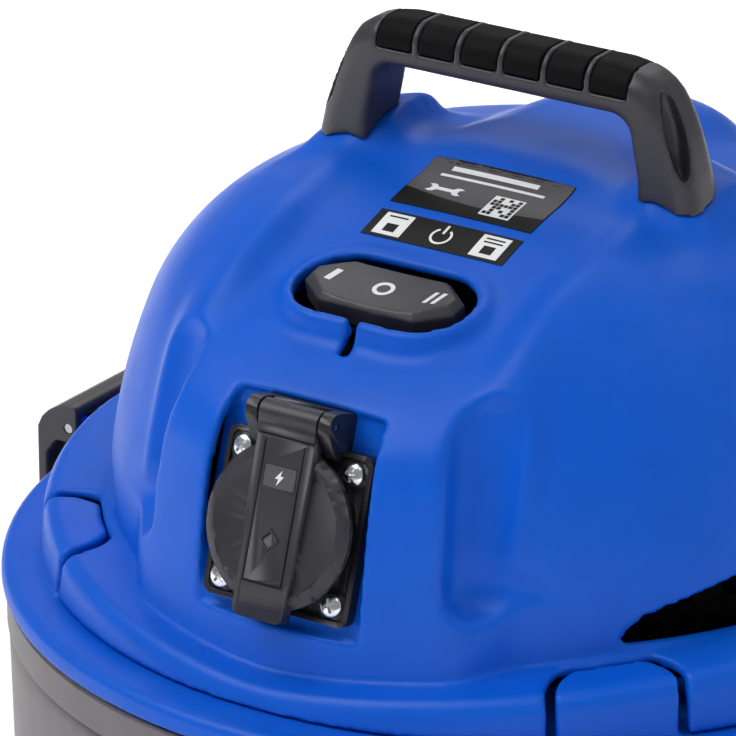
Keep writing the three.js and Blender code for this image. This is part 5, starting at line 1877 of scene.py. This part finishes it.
KEPT = {
    "inlet_baffle": DARK_GREY, "lid_seal": RUBBER, "head_base": DARK_GREY, "exhaust_grille_right": SOFT_BLACK_AND_POCKET_SHADE,
    "exhaust_grille_left": SOFT_BLACK_AND_POCKET_SHADE, "cable_gland": RUBBER, "rocker_pin": STEEL, "switch_body": SOFT_BLACK_AND_POCKET_SHADE,
    "socket_hinge_pin": STEEL, "socket_lid_spring": STEEL, "motor_gasket": RUBBER, "fan_housing": STEEL,
    "fan_impeller": STEEL, "motor_shaft": STEEL, "armature_core": COPPER, "commutator": COPPER,
    "stator": STEEL, "motor_bracket_lower": STEEL, "motor_bracket_upper": SOFT_BLACK_AND_POCKET_SHADE, "bearing_lower": CHROME,
    "bearing_upper": CHROME, "carbon_brush_right": SOFT_BLACK_AND_POCKET_SHADE, "carbon_brush_left": SOFT_BLACK_AND_POCKET_SHADE,
    "filter_cage": SOFT_BLACK_AND_POCKET_SHADE, "float_ball": FLOAT_WHITE, "cartridge_filter": PAPER, "filter_cap": DARK_GREY,
    "filter_knob": DARK_GREY,
}


def dress_kept_pieces() -> None:
    """Gives every CAD node that stays in view its material."""
    for name, finish in KEPT.items():
        piece = frame["nodes"][name]
        if not piece.material_slots:
            piece.data.materials.append(finish.material())
        for slot in piece.material_slots:
            slot.material = finish.material()
        log.info("%s: kept, %s", name, finish.name)


# ------------------------------------------------------------------ studio


@dataclass
class Studio:
    """A pale floor, soft lights and the camera."""

    azimuth: float = 33.9
    elevation: float = 22.0
    distance: float = 1.8036
    right: float = -0.0459
    up: float = 0.0595
    lens: float = 290.58
    sensor: float = 36.0

    def direction(self, azimuth: float, elevation: float) -> Vector:
        """Gives the direction from the object to a viewer."""
        a, e = math.radians(azimuth), math.radians(elevation)
        return Vector((math.sin(a) * math.cos(e), -math.cos(a) * math.cos(e), math.sin(e)))

    def camera(self) -> None:
        """Sets up the camera."""
        a, e = math.radians(self.azimuth), math.radians(self.elevation)
        back = self.direction(self.azimuth, self.elevation)
        right = Vector((math.cos(a), math.sin(a), 0))
        up = Vector((-math.sin(a) * math.sin(e), math.cos(a) * math.sin(e), math.cos(e)))
        place = back * self.distance + right * self.right + up * self.up + Vector((0, 0, RING_HEIGHT))
        data = bpy.data.cameras.new("camera")
        data.lens, data.sensor_width, data.clip_end = self.lens, self.sensor, 50
        camera = bpy.data.objects.new("camera", data)
        camera.matrix_world = Matrix.Translation(place) @ Matrix((right, up, back)).transposed().to_4x4()
        bpy.context.scene.collection.objects.link(camera)
        bpy.context.scene.camera = camera

    def light(
        self, name: str, azimuth: float, elevation: float, distance: float, size: float, power: float,
    ) -> None:
        """Adds a soft square light that looks at the head."""
        data = bpy.data.lights.new(name, "AREA")
        data.energy, data.size = power, size
        lamp = bpy.data.objects.new(name, data)
        middle = Vector((0, 0, RING_HEIGHT))
        way = self.direction(azimuth, elevation)
        lamp.location = middle + way * distance
        lamp.rotation_euler = way.to_track_quat("Z", "Y").to_euler()
        bpy.context.scene.collection.objects.link(lamp)

    def floor_light(self, azimuth: float) -> None:
        """Adds a wide lamp that shines straight down on the floor well beside the object."""
        data = bpy.data.lights.new(f"floor_lamp_{azimuth}", "AREA")
        data.energy, data.size = 110, 3.2
        data.spread = math.radians(80)
        lamp = bpy.data.objects.new(data.name, data)
        lamp.location = self.direction(azimuth, 0) * 3.4 + Vector((0, 0, 2.6))
        bpy.context.scene.collection.objects.link(lamp)

    def floor(self) -> None:
        """Lays a wide pale floor."""
        clear_selection()
        bpy.ops.mesh.primitive_plane_add(size=30)
        floor = bpy.context.object
        floor.name = "studio_floor"
        material = bpy.data.materials.new("pale floor")
        material.use_nodes = True
        graph = Graph(material.node_tree)
        where = graph.add("ShaderNodeTexCoord").outputs["Object"]
        shader = material.node_tree.nodes["Principled BSDF"]
        colour = graph.mix(graph.noise(where, 1.5, 3.0), (0.86, 0.86, 0.87, 1), (0.9, 0.9, 0.9, 1))
        graph.tree.links.new(colour, shader.inputs["Base Color"])
        shader.inputs["Roughness"].default_value = 0.8
        floor.data.materials.append(material)

    def build(self) -> None:
        """Sets up the floor, lights, surroundings and camera."""
        self.floor()
        self.light("key", -38, 56, 1.7, 1.0, 14)
        self.light("fill", 100, 25, 2.0, 1.4, 2.5)
        self.light("back", 205, 48, 2.0, 1.4, 8)
        for azimuth in (34, 124, 214, 304):
            self.floor_light(azimuth)
        world = bpy.data.worlds.new("surroundings")
        world.use_nodes = True
        graph = Graph(world.node_tree)
        background = world.node_tree.nodes["Background"]
        background.inputs["Color"].default_value = (1, 1, 1, 1)
        seen = graph.add("ShaderNodeLightPath").outputs["Is Camera Ray"]
        graph.tree.links.new(graph.spread(seen, 0.0, 1.0, 0.32, 1.0), background.inputs["Strength"])
        bpy.context.scene.world = world
        bpy.context.scene.view_settings.view_transform = "Standard"
        self.camera()


# ------------------------------------------------------------------ the whole vacuum


def main() -> None:
    """Builds the vacuum from the floor up."""
    logging.basicConfig(level=logging.INFO, format="%(message)s")
    Studio().build()
    CastorBase().build()
    Castor().build()
    Tank().build()
    InletPort().build()
    LidRing().build()
    cover = MotorCover().build()
    surface = copy_of(cover, TO_HEAD.inverted())
    surface.parent = None
    Labels().build(surface)
    bpy.data.objects.remove(surface)
    Handle().build()
    SwitchPanel().build()
    ToolSocket().build()
    Latch().build()
    dress_kept_pieces()


if __name__ == "__main__":
    main()
